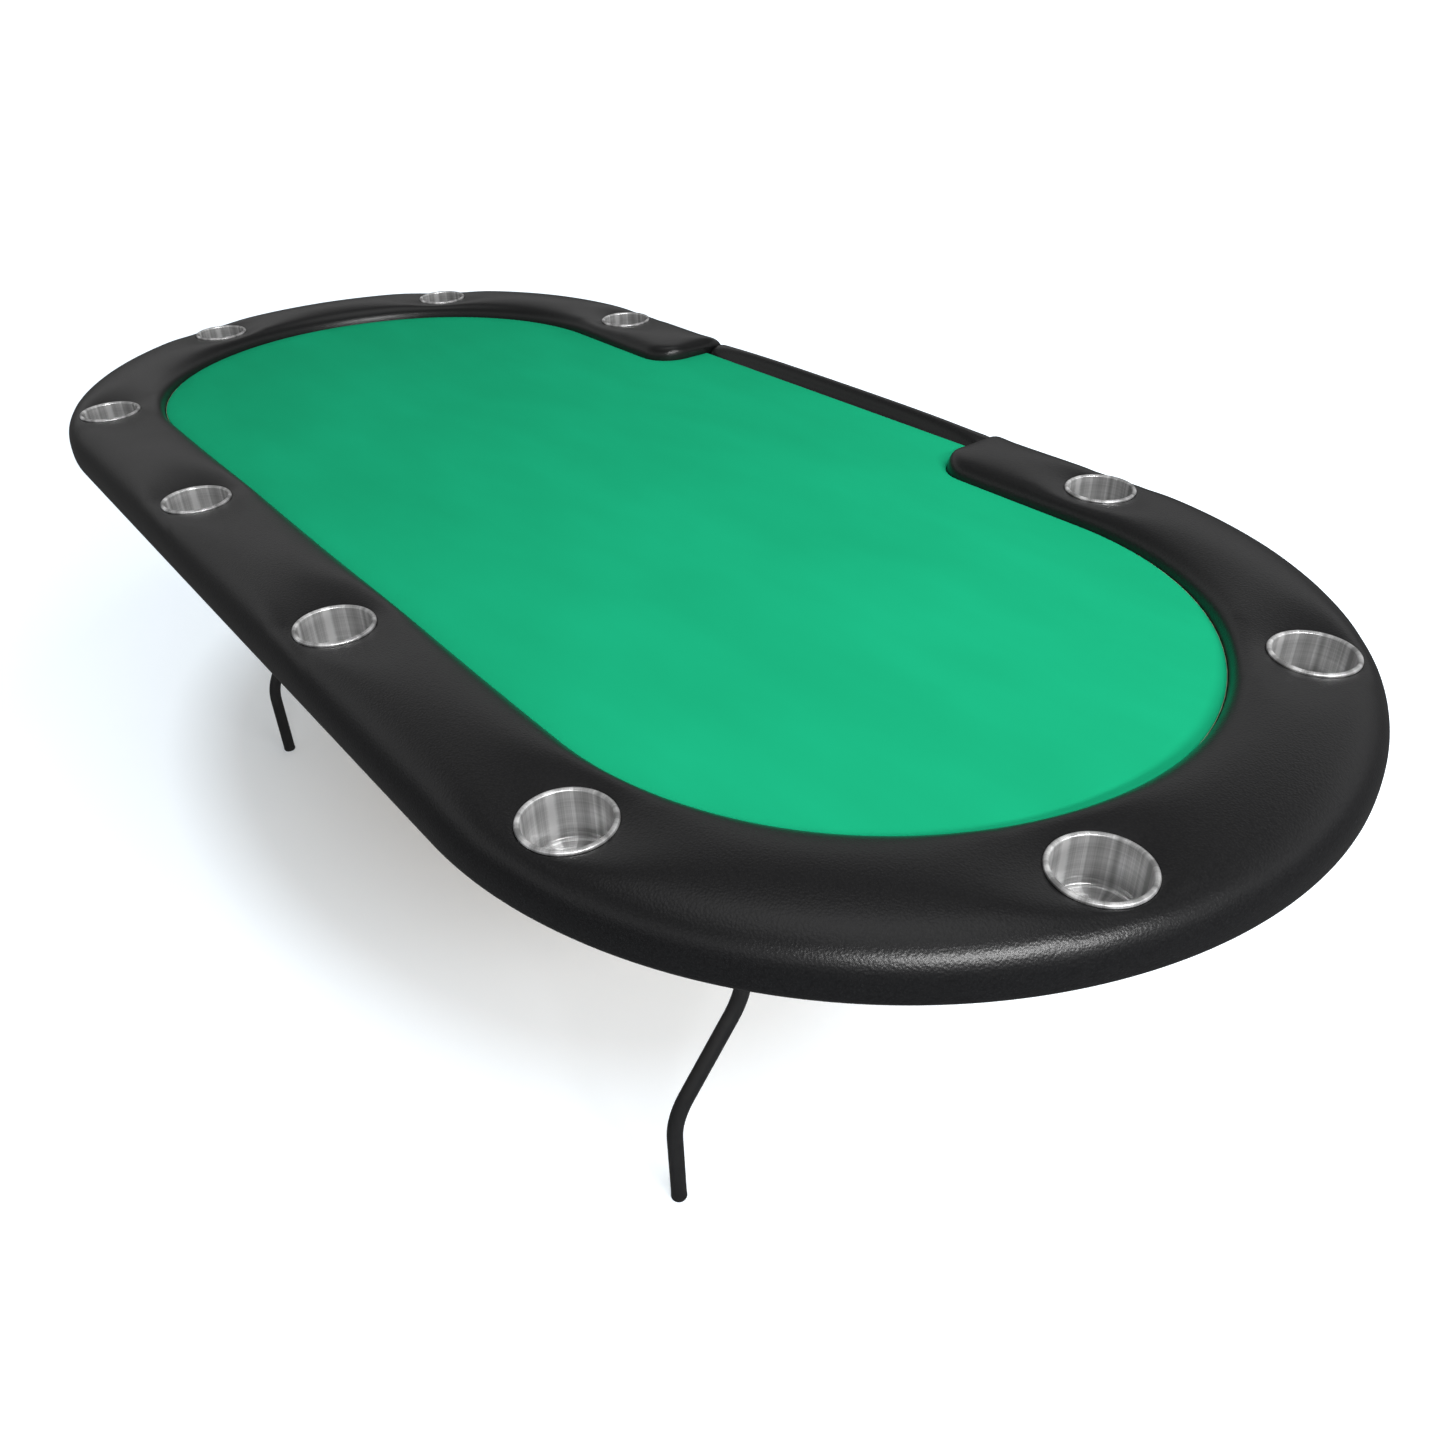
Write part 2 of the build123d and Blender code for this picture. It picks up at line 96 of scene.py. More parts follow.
# ------------------------------------------------------------------ shape of the padding
SWELLING_PRESSURE = 4.0
SWELLING_FRAMES = 20
FULLEST_SHARE = 0.97        # share of the points that rise less than the fullest places
START_DROP = 2.0 * MM       # the padding starts this much lower, and swells
RAIL_SWELL = 6.0 * MM
STRIP_SWELL = 7.0 * MM
MOST_MOVE = 9.0 * MM        # no point of the padding swells further than this
OUTER_RISE = 42 * MM        # height of the rounding on the outer side
OUTER_RUN = 46 * MM
INNER_RISE = 27 * MM
INNER_RUN = 24 * MM
FULLNESS = 2.05             # exponent of the roundings, 2 is an ellipse
HEM_R = 10 * MM             # rounding at the bottom edge
HEM_TURN = 30 * MM          # how far the cover is turned under
END_OUTER_R = 20 * MM       # plan roundings of the rail's ends
END_INNER_R = 58 * MM
END_TOP_R = 16 * MM
SEAT_R = 51.0 * MM          # where the padding leaves the cup's rim
SEAT_Z = CUP_RIM - 3.6 * MM
HOLE_DIP = 1.5 * MM         # how much lower the cut edge of the cup hole lies
DIMPLE_REACH = 72 * MM      # how far from the rim the padding is drawn down
FOOT_DROP = 8 * MM          # the padding is upright from here below the felt to the board
BOARD_PLAY = 0.2 * MM       # clearance over a padding's board


def link(piece):
    """Put a new object in the scene."""
    bpy.context.scene.collection.objects.link(piece)
    return piece


def mesh_piece(name, points, faces, smooth=True):
    """A mesh object from points and faces, its normals turned outwards."""
    mesh = bpy.data.meshes.new(name)
    mesh.from_pydata(points, [], faces)
    if faces:
        shape = bmesh.new()
        shape.from_mesh(mesh)
        bmesh.ops.recalc_face_normals(shape, faces=shape.faces)
        shape.to_mesh(mesh)
        shape.free()
    for face in mesh.polygons:
        face.use_smooth = smooth
    return link(bpy.data.objects.new(name, mesh))


def applied(piece):
    """Turn a piece's live modifiers into plain mesh."""
    graph = bpy.context.evaluated_depsgraph_get()
    mesh = bpy.data.meshes.new_from_object(piece.evaluated_get(graph))
    piece.modifiers.clear()
    piece.data = mesh
    return piece


def subdivided(piece):
    """Smooth a piece with one subdivision and keep the result."""
    smoother = piece.modifiers.new("subdivision", "SUBSURF")
    smoother.levels = 1
    smoother.render_levels = 1
    return applied(piece)


# ================================================================== materials
class Tree:
    """Adds nodes to a node tree and wires them."""

    def __init__(self, tree):
        self.tree = tree

    def wire(self, output, target):
        self.tree.links.new(output, target)

    def add(self, kind, wires=(), **values):
        """A node, its properties or sockets set, and its inputs wired from other sockets."""
        node = self.tree.nodes.new(kind)
        for key, value in values.items():
            if hasattr(node, key):
                setattr(node, key, value)
            else:
                node.inputs[key.replace("_", " ").title()].default_value = value
        for socket, source in dict(wires).items():
            self.wire(source, node.inputs[socket])
        return node

    def math(self, operation, a, b):
        """A math node on two sockets or numbers."""
        node = self.add("ShaderNodeMath", operation=operation)
        for place, value in enumerate((a, b)):
            if isinstance(value, (int, float)):
                node.inputs[place].default_value = value
            else:
                self.wire(value, node.inputs[place])
        return node.outputs[0]


class Finish(Tree):
    """Builds one procedural material node by node."""

    def __init__(self, name):
        self.material = bpy.data.materials.new(name)
        self.material.use_nodes = True
        super().__init__(self.material.node_tree)
        self.shader = self.tree.nodes["Principled BSDF"]

    def set(self, **values):
        for key, value in values.items():
            self.shader.inputs[key.replace("_", " ").title().replace("Ior", "IOR")].default_value = value

    def stretched(self, vector, stretch):
        return self.add("ShaderNodeMapping", {"Vector": vector}, scale=stretch).outputs["Vector"]

    def coordinates(self, stretch=(1, 1, 1)):
        return self.stretched(self.add("ShaderNodeTexCoord").outputs["Object"], stretch)

    def turned(self, stretch):
        """Coordinates that run round a turned piece, from the note on its points."""
        source = self.add("ShaderNodeAttribute", attribute_name="turned")
        return self.stretched(source.outputs["Vector"], stretch)

    def noise(self, vector, scale, detail=3.0, rough=0.5):
        sizes = {"scale": scale, "detail": detail, "roughness": rough}
        return self.add("ShaderNodeTexNoise", {"Vector": vector}, **sizes).outputs["Fac"]

    def cells(self, vector, scale, feature="F1"):
        sizes = {"feature": feature, "scale": scale}
        return self.add("ShaderNodeTexVoronoi", {"Vector": vector}, **sizes).outputs["Distance"]

    def ramp(self, factor, stops):
        made = self.add("ShaderNodeValToRGB", {"Fac": factor})
        band = made.color_ramp
        while len(band.elements) < len(stops):
            band.elements.new(0.5)
        for element, (position, colour) in zip(band.elements, stops):
            element.position = position
            element.color = (*colour, 1.0)
        return made.outputs["Color"]

    def mix(self, a, b, share):
        """Add two heights, share of b."""
        made = self.add("ShaderNodeMath", {0: b, 2: a}, operation="MULTIPLY_ADD")
        made.inputs[1].default_value = share
        return made.outputs["Value"]

    def made_of(self, colours, dullness, relief, **values):
        """The finished material.

        colours are a pattern and its colours, dullness a pattern and its lowest and highest
        roughness, relief a pattern with its depth and strength.
        """
        self.wire(self.ramp(*colours), self.shader.inputs["Base Color"])
        pattern, low, high = dullness
        spread = self.add("ShaderNodeMapRange", {"Value": pattern}, to_min=low, to_max=high)
        self.wire(spread.outputs["Result"], self.shader.inputs["Roughness"])
        pattern, depth, strength = relief
        bump = self.add("ShaderNodeBump", {"Height": pattern}, distance=depth, strength=strength)
        self.wire(bump.outputs["Normal"], self.shader.inputs["Normal"])
        self.set(**values)
        return self.material


def grey(value):
    return (value, value, value)


def leatherette():
    """Black upholstery vinyl: a fine pebble grain over broad, barely seen unevenness."""
    finish = Finish("rail_vinyl")
    where = finish.coordinates()
    pebbles = finish.cells(where, 430.0, "SMOOTH_F1")
    creases = finish.noise(where, 1500.0, 2.0)
    swell = finish.noise(where, 9.0, 2.0)
    colours = [(0.0, (0.0070, 0.0070, 0.0074)), (0.7, (0.0036, 0.0036, 0.0040))]
    height = finish.mix(pebbles, creases, 0.35)
    return finish.made_of(
        (pebbles, colours), (swell, 0.27, 0.34), (height, 0.45 * MM, 0.50), specular_ior_level=0.48
    )


def playing_cloth():
    """Green speed cloth: short nap, faint mottling, and the finest hint of a weave."""
    finish = Finish("felt_green")
    where = finish.coordinates()
    drift = finish.noise(finish.coordinates((1.0, 2.6, 1.0)), 3.2, 3.0)
    nap = finish.noise(where, 900.0, 4.0, 0.7)
    fibres = finish.noise(finish.coordinates((1.0, 3.5, 1.0)), 520.0, 3.0)
    tone = finish.mix(drift, nap, 0.35)
    greens = [(0.30, (0.0074, 0.332, 0.154)), (0.68, (0.0082, 0.362, 0.171)), (1.00, (0.0092, 0.394, 0.190))]
    height = finish.mix(nap, fibres, 0.8)
    return finish.made_of(
        (tone, greens), (nap, 0.86, 1.0), (height, 0.25 * MM, 0.35), specular_ior_level=0.04
    )


def brushed_steel():
    """Brushed stainless sheet: broad and fine bands run down the drawn wall; the fine ones are brushing, the
    broad ones are painted reflections.
    """
    finish = Finish("cup_steel")
    # painted reflection: broad light and dark bands in the base colour stand in for the studio's reflections
    # down the wall
    painted_reflection_bands = finish.noise(finish.turned((2.1, 2.1, 0.0)), 1.0, 2.0, 0.45)
    streaks = finish.noise(finish.turned((34.0, 34.0, 0.0)), 1.0, 2.0, 0.5)
    rings = finish.noise(finish.turned((0.6, 0.6, 700.0)), 1.0, 2.0, 0.5)
    tone = finish.mix(finish.mix(painted_reflection_bands, streaks, 0.16), rings, 0.10)
    tangent = finish.add("ShaderNodeTangent", direction_type="RADIAL", axis="Z")
    finish.wire(tangent.outputs["Tangent"], finish.shader.inputs["Tangent"])
    # dark to nearly white grey: partly the steel's own brushed tone, partly painted reflection; metallic
    # below 1 lets it show as diffuse colour
    colours = [(0.50, grey(0.30)), (0.62, grey(0.62)), (0.72, grey(0.98))]
    return finish.made_of(
        (tone, colours), (rings, 0.26, 0.34), (rings, 0.02 * MM, 0.3), metallic=0.72, anisotropic=0.8
    )


def powder_coat():
    """Satin black powder coat with its slight orange peel."""
    finish = Finish("leg_black")
    where = finish.coordinates()
    peel = finish.noise(where, 1400.0, 2.0)
    wear = finish.noise(where, 26.0, 4.0)
    colours = [(0.3, (0.0075, 0.0075, 0.008)), (0.8, (0.0125, 0.0125, 0.013))]
    return finish.made_of((wear, colours), (wear, 0.34, 0.46), (peel, 0.12 * MM, 0.25))


def moulded_plastic():
    """Black moulded polyethylene, lightly scuffed."""
    finish = Finish("plug_black")
    where = finish.coordinates()
    grain = finish.noise(where, 1900.0, 2.0)
    scuffs = finish.noise(finish.coordinates((1.0, 1.0, 6.0)), 120.0, 4.0)
    colours = [(0.35, grey(0.010)), (0.75, grey(0.019))]
    return finish.made_of((scuffs, colours), (scuffs, 0.48, 0.68), (grain, 0.10 * MM, 0.3))


def fibreboard():
    """Raw fibreboard: pressed fibres and small darker flecks."""
    finish = Finish("board_wood")
    where = finish.coordinates()
    fibres = finish.noise(finish.coordinates((1.0, 2.2, 1.0)), 240.0, 6.0, 0.7)
    flecks = finish.noise(where, 900.0, 2.0)
    clouds = finish.noise(where, 5.0, 3.0)
    tone = finish.mix(finish.mix(clouds, fibres, 0.7), flecks, 0.25)
    browns = [(0.55, (0.205, 0.128, 0.072)), (0.9, (0.330, 0.222, 0.132)), (1.0, (0.40, 0.29, 0.18))]
    return finish.made_of((tone, browns), (fibres, 0.62, 0.85), (fibres, 0.15 * MM, 0.4))


def open_foam():
    """Yellowish upholstery foam with open cells."""
    finish = Finish("padding_foam")
    where = finish.coordinates()
    pores = finish.cells(where, 900.0)
    colours = [(0.0, (0.60, 0.56, 0.40)), (0.8, (0.38, 0.35, 0.24))]
    return finish.made_of((pores, colours), (pores, 0.85, 1.0), (pores, 0.4 * MM, 0.6))


def zinc_plate():
    """Bright zinc on screws, rivets and staples."""
    finish = Finish("screw_zinc")
    where = finish.coordinates()
    haze = finish.noise(where, 420.0, 4.0)
    colours = [(0.3, (0.50, 0.51, 0.53)), (0.8, (0.66, 0.66, 0.67))]
    return finish.made_of((haze, colours), (haze, 0.26, 0.45), (haze, 0.05 * MM, 0.2), metallic=1.0)


MAKERS = {
    "rail_vinyl": leatherette,
    "felt_green": playing_cloth,
    "cup_steel": brushed_steel,
    "leg_black": powder_coat,
    "plug_black": moulded_plastic,
    "board_wood": fibreboard,
    "padding_foam": open_foam,
    "screw_zinc": zinc_plate,
}
FINISHES = {slot: make() for slot, make in MAKERS.items()}


def finish_cad_nodes():
    """Give every CAD node the finish of its slot."""
    for row in frame["record"]["subparts"]:
        mesh = NODES[row["node"]].data
        mesh.materials.clear()
        mesh.materials.append(FINISHES[row["material_slot"]])


def settle(piece, slot, body, *nodes):
    """Paint a finished piece, let it ride on its body and stand for its CAD nodes."""
    piece.data.materials.clear()
    piece.data.materials.append(FINISHES[slot])
    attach(piece, body)
    if nodes:
        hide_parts(*nodes)
    return piece


# ================================================================== camera and light
CAMERA_PLACE = (1.53817, -0.90841, 1.45355)
CAMERA_TURN = (52.537, 33.964, -1.736)      # azimuth, elevation and roll in degrees
CAMERA_LENS = 29.70                         # focal length in mm, on a full frame
FULL_FRAME = 36.0


def place_camera():
    """Standing height, off the near corner of the table."""
    azimuth, elevation, roll = (math.radians(angle) for angle in CAMERA_TURN)
    away = math.cos(elevation)
    back = Vector((math.sin(azimuth) * away, -math.cos(azimuth) * away, math.sin(elevation)))
    level = (-back).cross(Vector((0, 0, 1))).normalized()
    rise = level.cross(-back)
    right = math.cos(roll) * level + math.sin(roll) * rise
    up = -math.sin(roll) * level + math.cos(roll) * rise
    lens = bpy.data.cameras.new("camera")
    lens.lens = CAMERA_LENS
    lens.sensor_width = FULL_FRAME
    camera = link(bpy.data.objects.new("camera", lens))
    turn = Matrix((right, up, back)).transposed().to_4x4()
    camera.matrix_world = Matrix.Translation(CAMERA_PLACE) @ turn
    bpy.context.scene.camera = camera


def softbox(name, place, target, size, power, mirrored):
    """A large soft light aimed at a point, mirrored in shiny surfaces or hidden from them."""
    lamp = bpy.data.lights.new(name, "AREA")
    lamp.shape = "RECTANGLE"
    lamp.size, lamp.size_y = size
    lamp.energy = power
    light = link(bpy.data.objects.new(name, lamp))
    light.location = place
    light.rotation_euler = (Vector(target) - Vector(place)).to_track_quat("-Z", "Y").to_euler()
    light.visible_glossy = mirrored


WALL_SHADES = (      # height, shade
    (0.0, 0.10), (0.12, 0.28), (0.36, 0.60), (0.62, 0.21), (0.85, 0.09), (1.0, 0.08)
)
SOFTBOXES = (        # name, place, target, size, power, mirrored
    ("overhead_scrim", (1.7, 1.0, 3.4), (1.2, 0.5, 0.7), (2.6, 2.2), 76.0, False),
    ("front_strip", (3.9, -1.1, 2.8), (1.0, -0.3, 0.76), (2.5, 0.32), 112.0, True),
    ("floor_fill", (3.6, 0.3, 0.9), (0.4, 0.0, 0.0), (1.6, 0.8), 60.0, False),
)


def light_studio():
    """A grey surround for light and reflections, white to the camera, and softboxes."""
    scene = bpy.context.scene
    scene.view_settings.view_transform = "Standard"
    world = bpy.data.worlds.new("studio")
    world.use_nodes = True
    scene.world = world
    t = Tree(world.node_tree)
    ways = t.add("ShaderNodeTexCoord")
    parts = t.add("ShaderNodeSeparateXYZ", {"Vector": ways.outputs["Generated"]})
    walls = t.add("ShaderNodeValToRGB", {"Fac": parts.outputs["Z"]})
    seen = t.add("ShaderNodeLightPath")
    shades = {"Factor": seen.outputs["Is Camera Ray"], 6: walls.outputs["Color"]}
    backdrop = t.add("ShaderNodeMix", shades, data_type="RGBA")
    backdrop.inputs[7].default_value = (*grey(1.0), 1.0)
    t.wire(backdrop.outputs[2], t.tree.nodes["Background"].inputs["Color"])
    band = walls.color_ramp
    for height, shade in WALL_SHADES:
        if height in (0.0, 1.0):
            element = band.elements[int(height)]
        else:
            element = band.elements.new(height)
        element.color = (*grey(shade), 1.0)
    for box in SOFTBOXES:
        softbox(*box)


# The floor glows though it is no lamp, and the glow is weaker in an oval under the table: a painted shadow,
# fixed on the floor.
PAINTED_SHADOW_CENTRE = (-0.32, -0.05)        # middle of the painted shadow, where the floor's glow is weakest: under the table, left of its middle
PAINTED_SHADOW_REACH = (1.05, 0.58)
GLOW_FAR = 4.0
GLOW_AND_PAINTED_SHADOW_STOPS = ((0.20, 0.06), (0.80, 0.24), (1.05, 0.58), (4.0, 0.95))    # reaches away, glow
GLOW_TINT = (0.86, 0.97, 1.06)
FLOOR_HALF = 400.0
FLOOR_PAINT = (0.78, 0.80, 0.82, 1.0)


def lay_floor():
    """A wide pale studio floor that glows faintly though it is no lamp, least of all under the table, where
    the weaker glow is a painted shadow.
    """
    corners = ((-1, -1), (1, -1), (1, 1), (-1, 1))
    points = [(x * FLOOR_HALF, y * FLOOR_HALF, 0) for x, y in corners]
    floor = mesh_piece("studio_floor", points, [(0, 1, 2, 3)], smooth=False)
    finish = Finish("floor_glow_painted_shadow")
    around = finish.add("ShaderNodeMapping", {"Vector": finish.coordinates()})
    around.inputs["Scale"].default_value = (1 / PAINTED_SHADOW_REACH[0], 1 / PAINTED_SHADOW_REACH[1], 0)
    shift = [-centre / reach for centre, reach in zip(PAINTED_SHADOW_CENTRE, PAINTED_SHADOW_REACH)]
    around.inputs["Location"].default_value = (*shift, 0)
    away = finish.add("ShaderNodeVectorMath", {0: around.outputs["Vector"]}, operation="LENGTH")
    share = finish.add("ShaderNodeMapRange", {"Value": away.outputs["Value"]}, from_max=GLOW_FAR)
    # painted shadow: the glow's colour grows from dim in the oval's middle to nearly white far away
    stops = [(far / GLOW_FAR, [tint * glow for tint in GLOW_TINT]) for far, glow in GLOW_AND_PAINTED_SHADOW_STOPS]
    finish.wire(finish.ramp(share.outputs["Result"], stops), finish.shader.inputs["Emission Color"])
    finish.set(base_color=FLOOR_PAINT, emission_strength=1.0, roughness=0.9, specular_ior_level=0.1)
    floor.data.materials.append(finish.material)
    floor.visible_glossy = False


# ================================================================== the padded rail
def cup_line_at(run):
    """Point on the cups' line and the way outwards there, run metres from the rail's right end."""
    radius = END_R - CUP_LINE
    first = STRAIGHT - GAP_HALF
    bend = math.pi * radius
    if run <= first:
        return Vector((GAP_HALF + run, radius)), Vector((0, 1))
    run -= first
    if run <= bend:
        turn = math.pi / 2 - run / radius
        out = Vector((math.cos(turn), math.sin(turn)))
        return Vector((STRAIGHT, 0)) + radius * out, out
    run -= bend
    if run <= 2 * STRAIGHT:
        return Vector((STRAIGHT - run, -radius)), Vector((0, -1))
    run -= 2 * STRAIGHT
    if run <= bend:
        turn = -math.pi / 2 - run / radius
        out = Vector((math.cos(turn), math.sin(turn)))
        return Vector((-STRAIGHT, 0)) + radius * out, out
    run -= bend
    return Vector((-STRAIGHT + run, radius)), Vector((0, 1))


RAIL_RUN = 2 * (STRAIGHT - GAP_HALF) + 2 * math.pi * (END_R - CUP_LINE) + 2 * STRAIGHT
RAIL_LEAD = (RAIL_RUN - 9 * CUP_PITCH) / 2     # from a rail end to its nearest cup
END_STATIONS = 9
CLOSING_RUN = 50 * MM                          # at least this much closes up at a rail end
EVEN_STATIONS = int((RAIL_LEAD - CLOSING_RUN) / CELL)
BOARD_STATION = 4                              # the rail's board starts at this station
CUP_STATIONS = [END_STATIONS + EVEN_STATIONS + CELLS_PER_PITCH * n for n in range(10)]
HOLE_RING = 3                                  # the cup's hole is this many cells from its middle
# radius of each ring of cells round a cup
RING_RADII = {3: 46.0 * MM, 4: 51.8 * MM, 5: 60.5 * MM, 6: 71.5 * MM, 7: 83.0 * MM}
RING_ROUND = {3: 1.0, 4: 1.0, 5: 0.62, 6: 0.25, 7: 0.07}    # share drawn round, by ring
LEAST_RISE = 0.5 * MM                          # the top stays this much over the bottom edge


def rail_stations():
    """Runs of the cross sections: even cells, closing up towards the rounded ends."""
    closing = RAIL_LEAD - EVEN_STATIONS * CELL
    start = [closing * (1 - math.cos(0.5 * math.pi * n / END_STATIONS)) for n in range(END_STATIONS)]
    even = [closing + n * CELL for n in range(2 * EVEN_STATIONS + 9 * CELLS_PER_PITCH + 1)]
    return start + even + [RAIL_RUN - run for run in reversed(start)]


def stand_back(radius, distance):
    """How far a rounded corner stands back at a distance from its flat end."""
    if distance >= radius:
        return 0.0
    return radius - math.sqrt(radius**2 - (radius - distance) ** 2)


def rounding(share):
    """Drop of a full, rounded shoulder, from 0 at its top to 1 at its side."""
    return 1 - (1 - min(1.0, share) ** FULLNESS) ** (1 / FULLNESS)


def crown(inset):
    """Height of the padded top across the rail: fuller outside, tighter at the felt."""
    if inset < OUTER_RUN:
        return CREST - OUTER_RISE * rounding((OUTER_RUN - inset) / OUTER_RUN)
    if inset > RAIL_W - INNER_RUN:
        return CREST - INNER_RISE * rounding((inset - RAIL_W + INNER_RUN) / INNER_RUN)
    return CREST


def hem_rows():
    """The cover's turned-under hem and its rounded bottom edge, as (inset, height)."""
    rows = [(HEM_TURN, UNDER), (0.5 * (HEM_TURN + HEM_R), UNDER), (HEM_R, UNDER)]
    for turn in (math.pi / 6, math.pi / 3, math.pi / 2):
        rows.append((HEM_R * (1 - math.sin(turn)), UNDER + HEM_R * (1 - math.cos(turn))))
    return rows


CUP_ROWS = 5        # evenly spaced lines on each side of the cups' line
TOP_LINES = [CUP_LINE + n * CELL for n in range(-CUP_ROWS, CUP_ROWS + 1)]
OUTER_LINES = [0.0, 0.7 * MM, 2.6 * MM, 6 * MM, 10.7 * MM]
INNER_LINES = [RAIL_W - back * MM for back in (18.0, 10.7, 5.4, 2.1, 0.0)]
HEM_COUNT = len(hem_rows())
CUP_ROW = HEM_COUNT + 1 + len(OUTER_LINES) + CUP_ROWS
INSIDE_CUP_ROW = 2 + CUP_ROWS


def rail_skin_rows():
    """The cover's cross section from hem to foot, as (inset, height)."""
    rows = hem_rows()
    rows.append((0.0, 0.5 * (UNDER + HEM_R + CREST - OUTER_RISE)))
    rows += [(inset, crown(inset)) for inset in OUTER_LINES + TOP_LINES + INNER_LINES]
    rows += [(RAIL_W, FELT_TOP - FOOT_DROP), (RAIL_W, BOARD_SEAM)]
    return rows


def rail_inside_rows():
    """The cavity that the boards fill, from the foot back to the hem."""
    top = RAIL_BOARD_TOP + BOARD_PLAY
    rows = [(RAIL_W - COVER, BOARD_SEAM), (RAIL_W - COVER, top)]
    rows += [(inset, top) for inset in reversed(TOP_LINES)]
    rows += [(BOARD_INSET, top), (BOARD_INSET, BOARD_BOTTOM), (HEM_TURN, BOARD_BOTTOM)]
    return rows


def ring_turn(i, j):
    """Angle of a point of a square ring, spaced evenly round it."""
    if abs(i) >= abs(j):
        return math.radians(45) * j / i + (0 if i > 0 else math.pi)
    return -math.radians(45) * i / j + math.copysign(math.pi / 2, j)


def round_the_cup(along, inset, i, j):
    """Draw the square mesh in to a round one near a cup, i and j cells from its middle."""
    ring = max(abs(i), abs(j))
    if ring not in RING_RADII:
        return along, inset
    share, radius, turn = RING_ROUND[ring], RING_RADII[ring], ring_turn(i, j)
    along = share * radius * math.cos(turn) + (1 - share) * along
    across = share * radius * math.sin(turn) + (1 - share) * (inset - CUP_LINE)
    return along, CUP_LINE + across


def dimple(height, distance):
    """The top's height where a cup's rim draws it down."""
    if distance < SEAT_R:
        return SEAT_Z - HOLE_DIP * (SEAT_R - distance) / (SEAT_R - RING_RADII[HOLE_RING])
    away = min(1.0, (distance - SEAT_R) / DIMPLE_REACH)
    share = (1 - away) ** 3 * (1 + 0.6 * away)
    return height + (min(SEAT_Z, height) - height) * share


def placed(run, inset, height):
    """A point of the rail in the table's frame."""
    centre, out = cup_line_at(run)
    spot = centre + (CUP_LINE - inset) * out
    return (spot.x, spot.y, height)


def bar_faces(skin, inside, first, last):
    """Faces of a padded bar: its skin, the cavity for its board, and its closed ends.

    skin and inside hold point numbers by station and row.  The cavity runs from station
    first to station last.
    """
    faces = []
    for near, far in zip(skin, skin[1:]):
        for row in range(len(near) - 1):
            faces.append((near[row], near[row + 1], far[row + 1], far[row]))
    for station in range(first, last):
        near = [skin[station][-1], *inside[station], skin[station][0]]
        far = [skin[station + 1][-1], *inside[station + 1], skin[station + 1][0]]
        for row in range(len(near) - 1):
            faces.append((near[row], near[row + 1], far[row + 1], far[row]))
    for station in (*range(first), *range(last, len(skin) - 1)):
        near, far = skin[station], skin[station + 1]
        faces.append((near[-1], near[0], far[0], far[-1]))
    for rows in (skin[0], skin[-1]):
        pairs = list(zip(rows, reversed(rows)))[: len(rows) // 2]
        for (a, b), (c, d) in zip(pairs, pairs[1:]):
            faces.append((a, c, d, b))
    for station in (first, last):
        faces.append((skin[station][-1], *inside[station], skin[station][0]))
    return faces


def sharpened(piece, numbers):
    """Keep the edges between the numbered points sharp under subdivision."""
    sharp = set(numbers)
    crease = piece.data.attributes.new("crease_edge", "FLOAT", "EDGE")
    for edge in piece.data.edges:
        if edge.vertices[0] in sharp and edge.vertices[1] in sharp:
            crease.data[edge.index].value = 1.0
    return piece


def blown_up(piece, held, rise):
    """Swell the padding under its cover with a cloth simulation.

    held gives each point's grip from 0 to 1.  The moves are scaled so that the fullest
    places rise by rise, and no point moves further than MOST_MOVE.
    """
    start = [point.co.copy() for point in piece.data.vertices]
    grip = piece.vertex_groups.new(name="held")
    for number, share in enumerate(held):
        if share:
            grip.add([number], share, "REPLACE")
    cloth = piece.modifiers.new("swelling", "CLOTH")
    cloth.settings.quality = 5
    cloth.settings.tension_stiffness = 12
    cloth.settings.compression_stiffness = 12
    cloth.settings.shear_stiffness = 6
    cloth.settings.bending_stiffness = 4
    cloth.settings.use_pressure = True
    cloth.settings.uniform_pressure_force = SWELLING_PRESSURE
    cloth.settings.vertex_group_mass = "held"
    cloth.settings.effector_weights.gravity = 0
    cloth.collision_settings.use_collision = False
    cloth.point_cache.frame_start = 1
    cloth.point_cache.frame_end = SWELLING_FRAMES
    for number in range(1, SWELLING_FRAMES + 1):
        bpy.context.scene.frame_set(number)
    graph = bpy.context.evaluated_depsgraph_get()
    swollen = [point.co.copy() for point in piece.evaluated_get(graph).data.vertices]
    bpy.context.scene.frame_set(1)
    piece.modifiers.remove(cloth)
    piece.vertex_groups.remove(grip)
    rises = sorted(after.z - before.z for before, after in zip(start, swollen))
    gain = rise / rises[int(FULLEST_SHARE * len(rises))]
    for point, before, after in zip(piece.data.vertices, start, swollen):
        move = gain * (after - before)
        if move.length > MOST_MOVE:
            move *= MOST_MOVE / move.length
        point.co = before + move
    return piece


def near_cup(station):
    """Station of the cup nearest along the rail."""
    return min(CUP_STATIONS, key=lambda middle: abs(middle - station))


def rail_height(row, run, inset, height, along):
    """Height of a point of the cover's upper part."""
    q = min(run, RAIL_RUN - run)
    low = UNDER + HEM_R
    if row > HEM_COUNT:
        height = crown(inset)
    squat = (CREST - stand_back(END_TOP_R, q) - low) / (CREST - low)
    height = max(low + (height - START_DROP - low) * squat, low + LEAST_RISE)
    if row > HEM_COUNT + 1:
        height = dimple(height, math.hypot(along, inset - CUP_LINE))
    return height


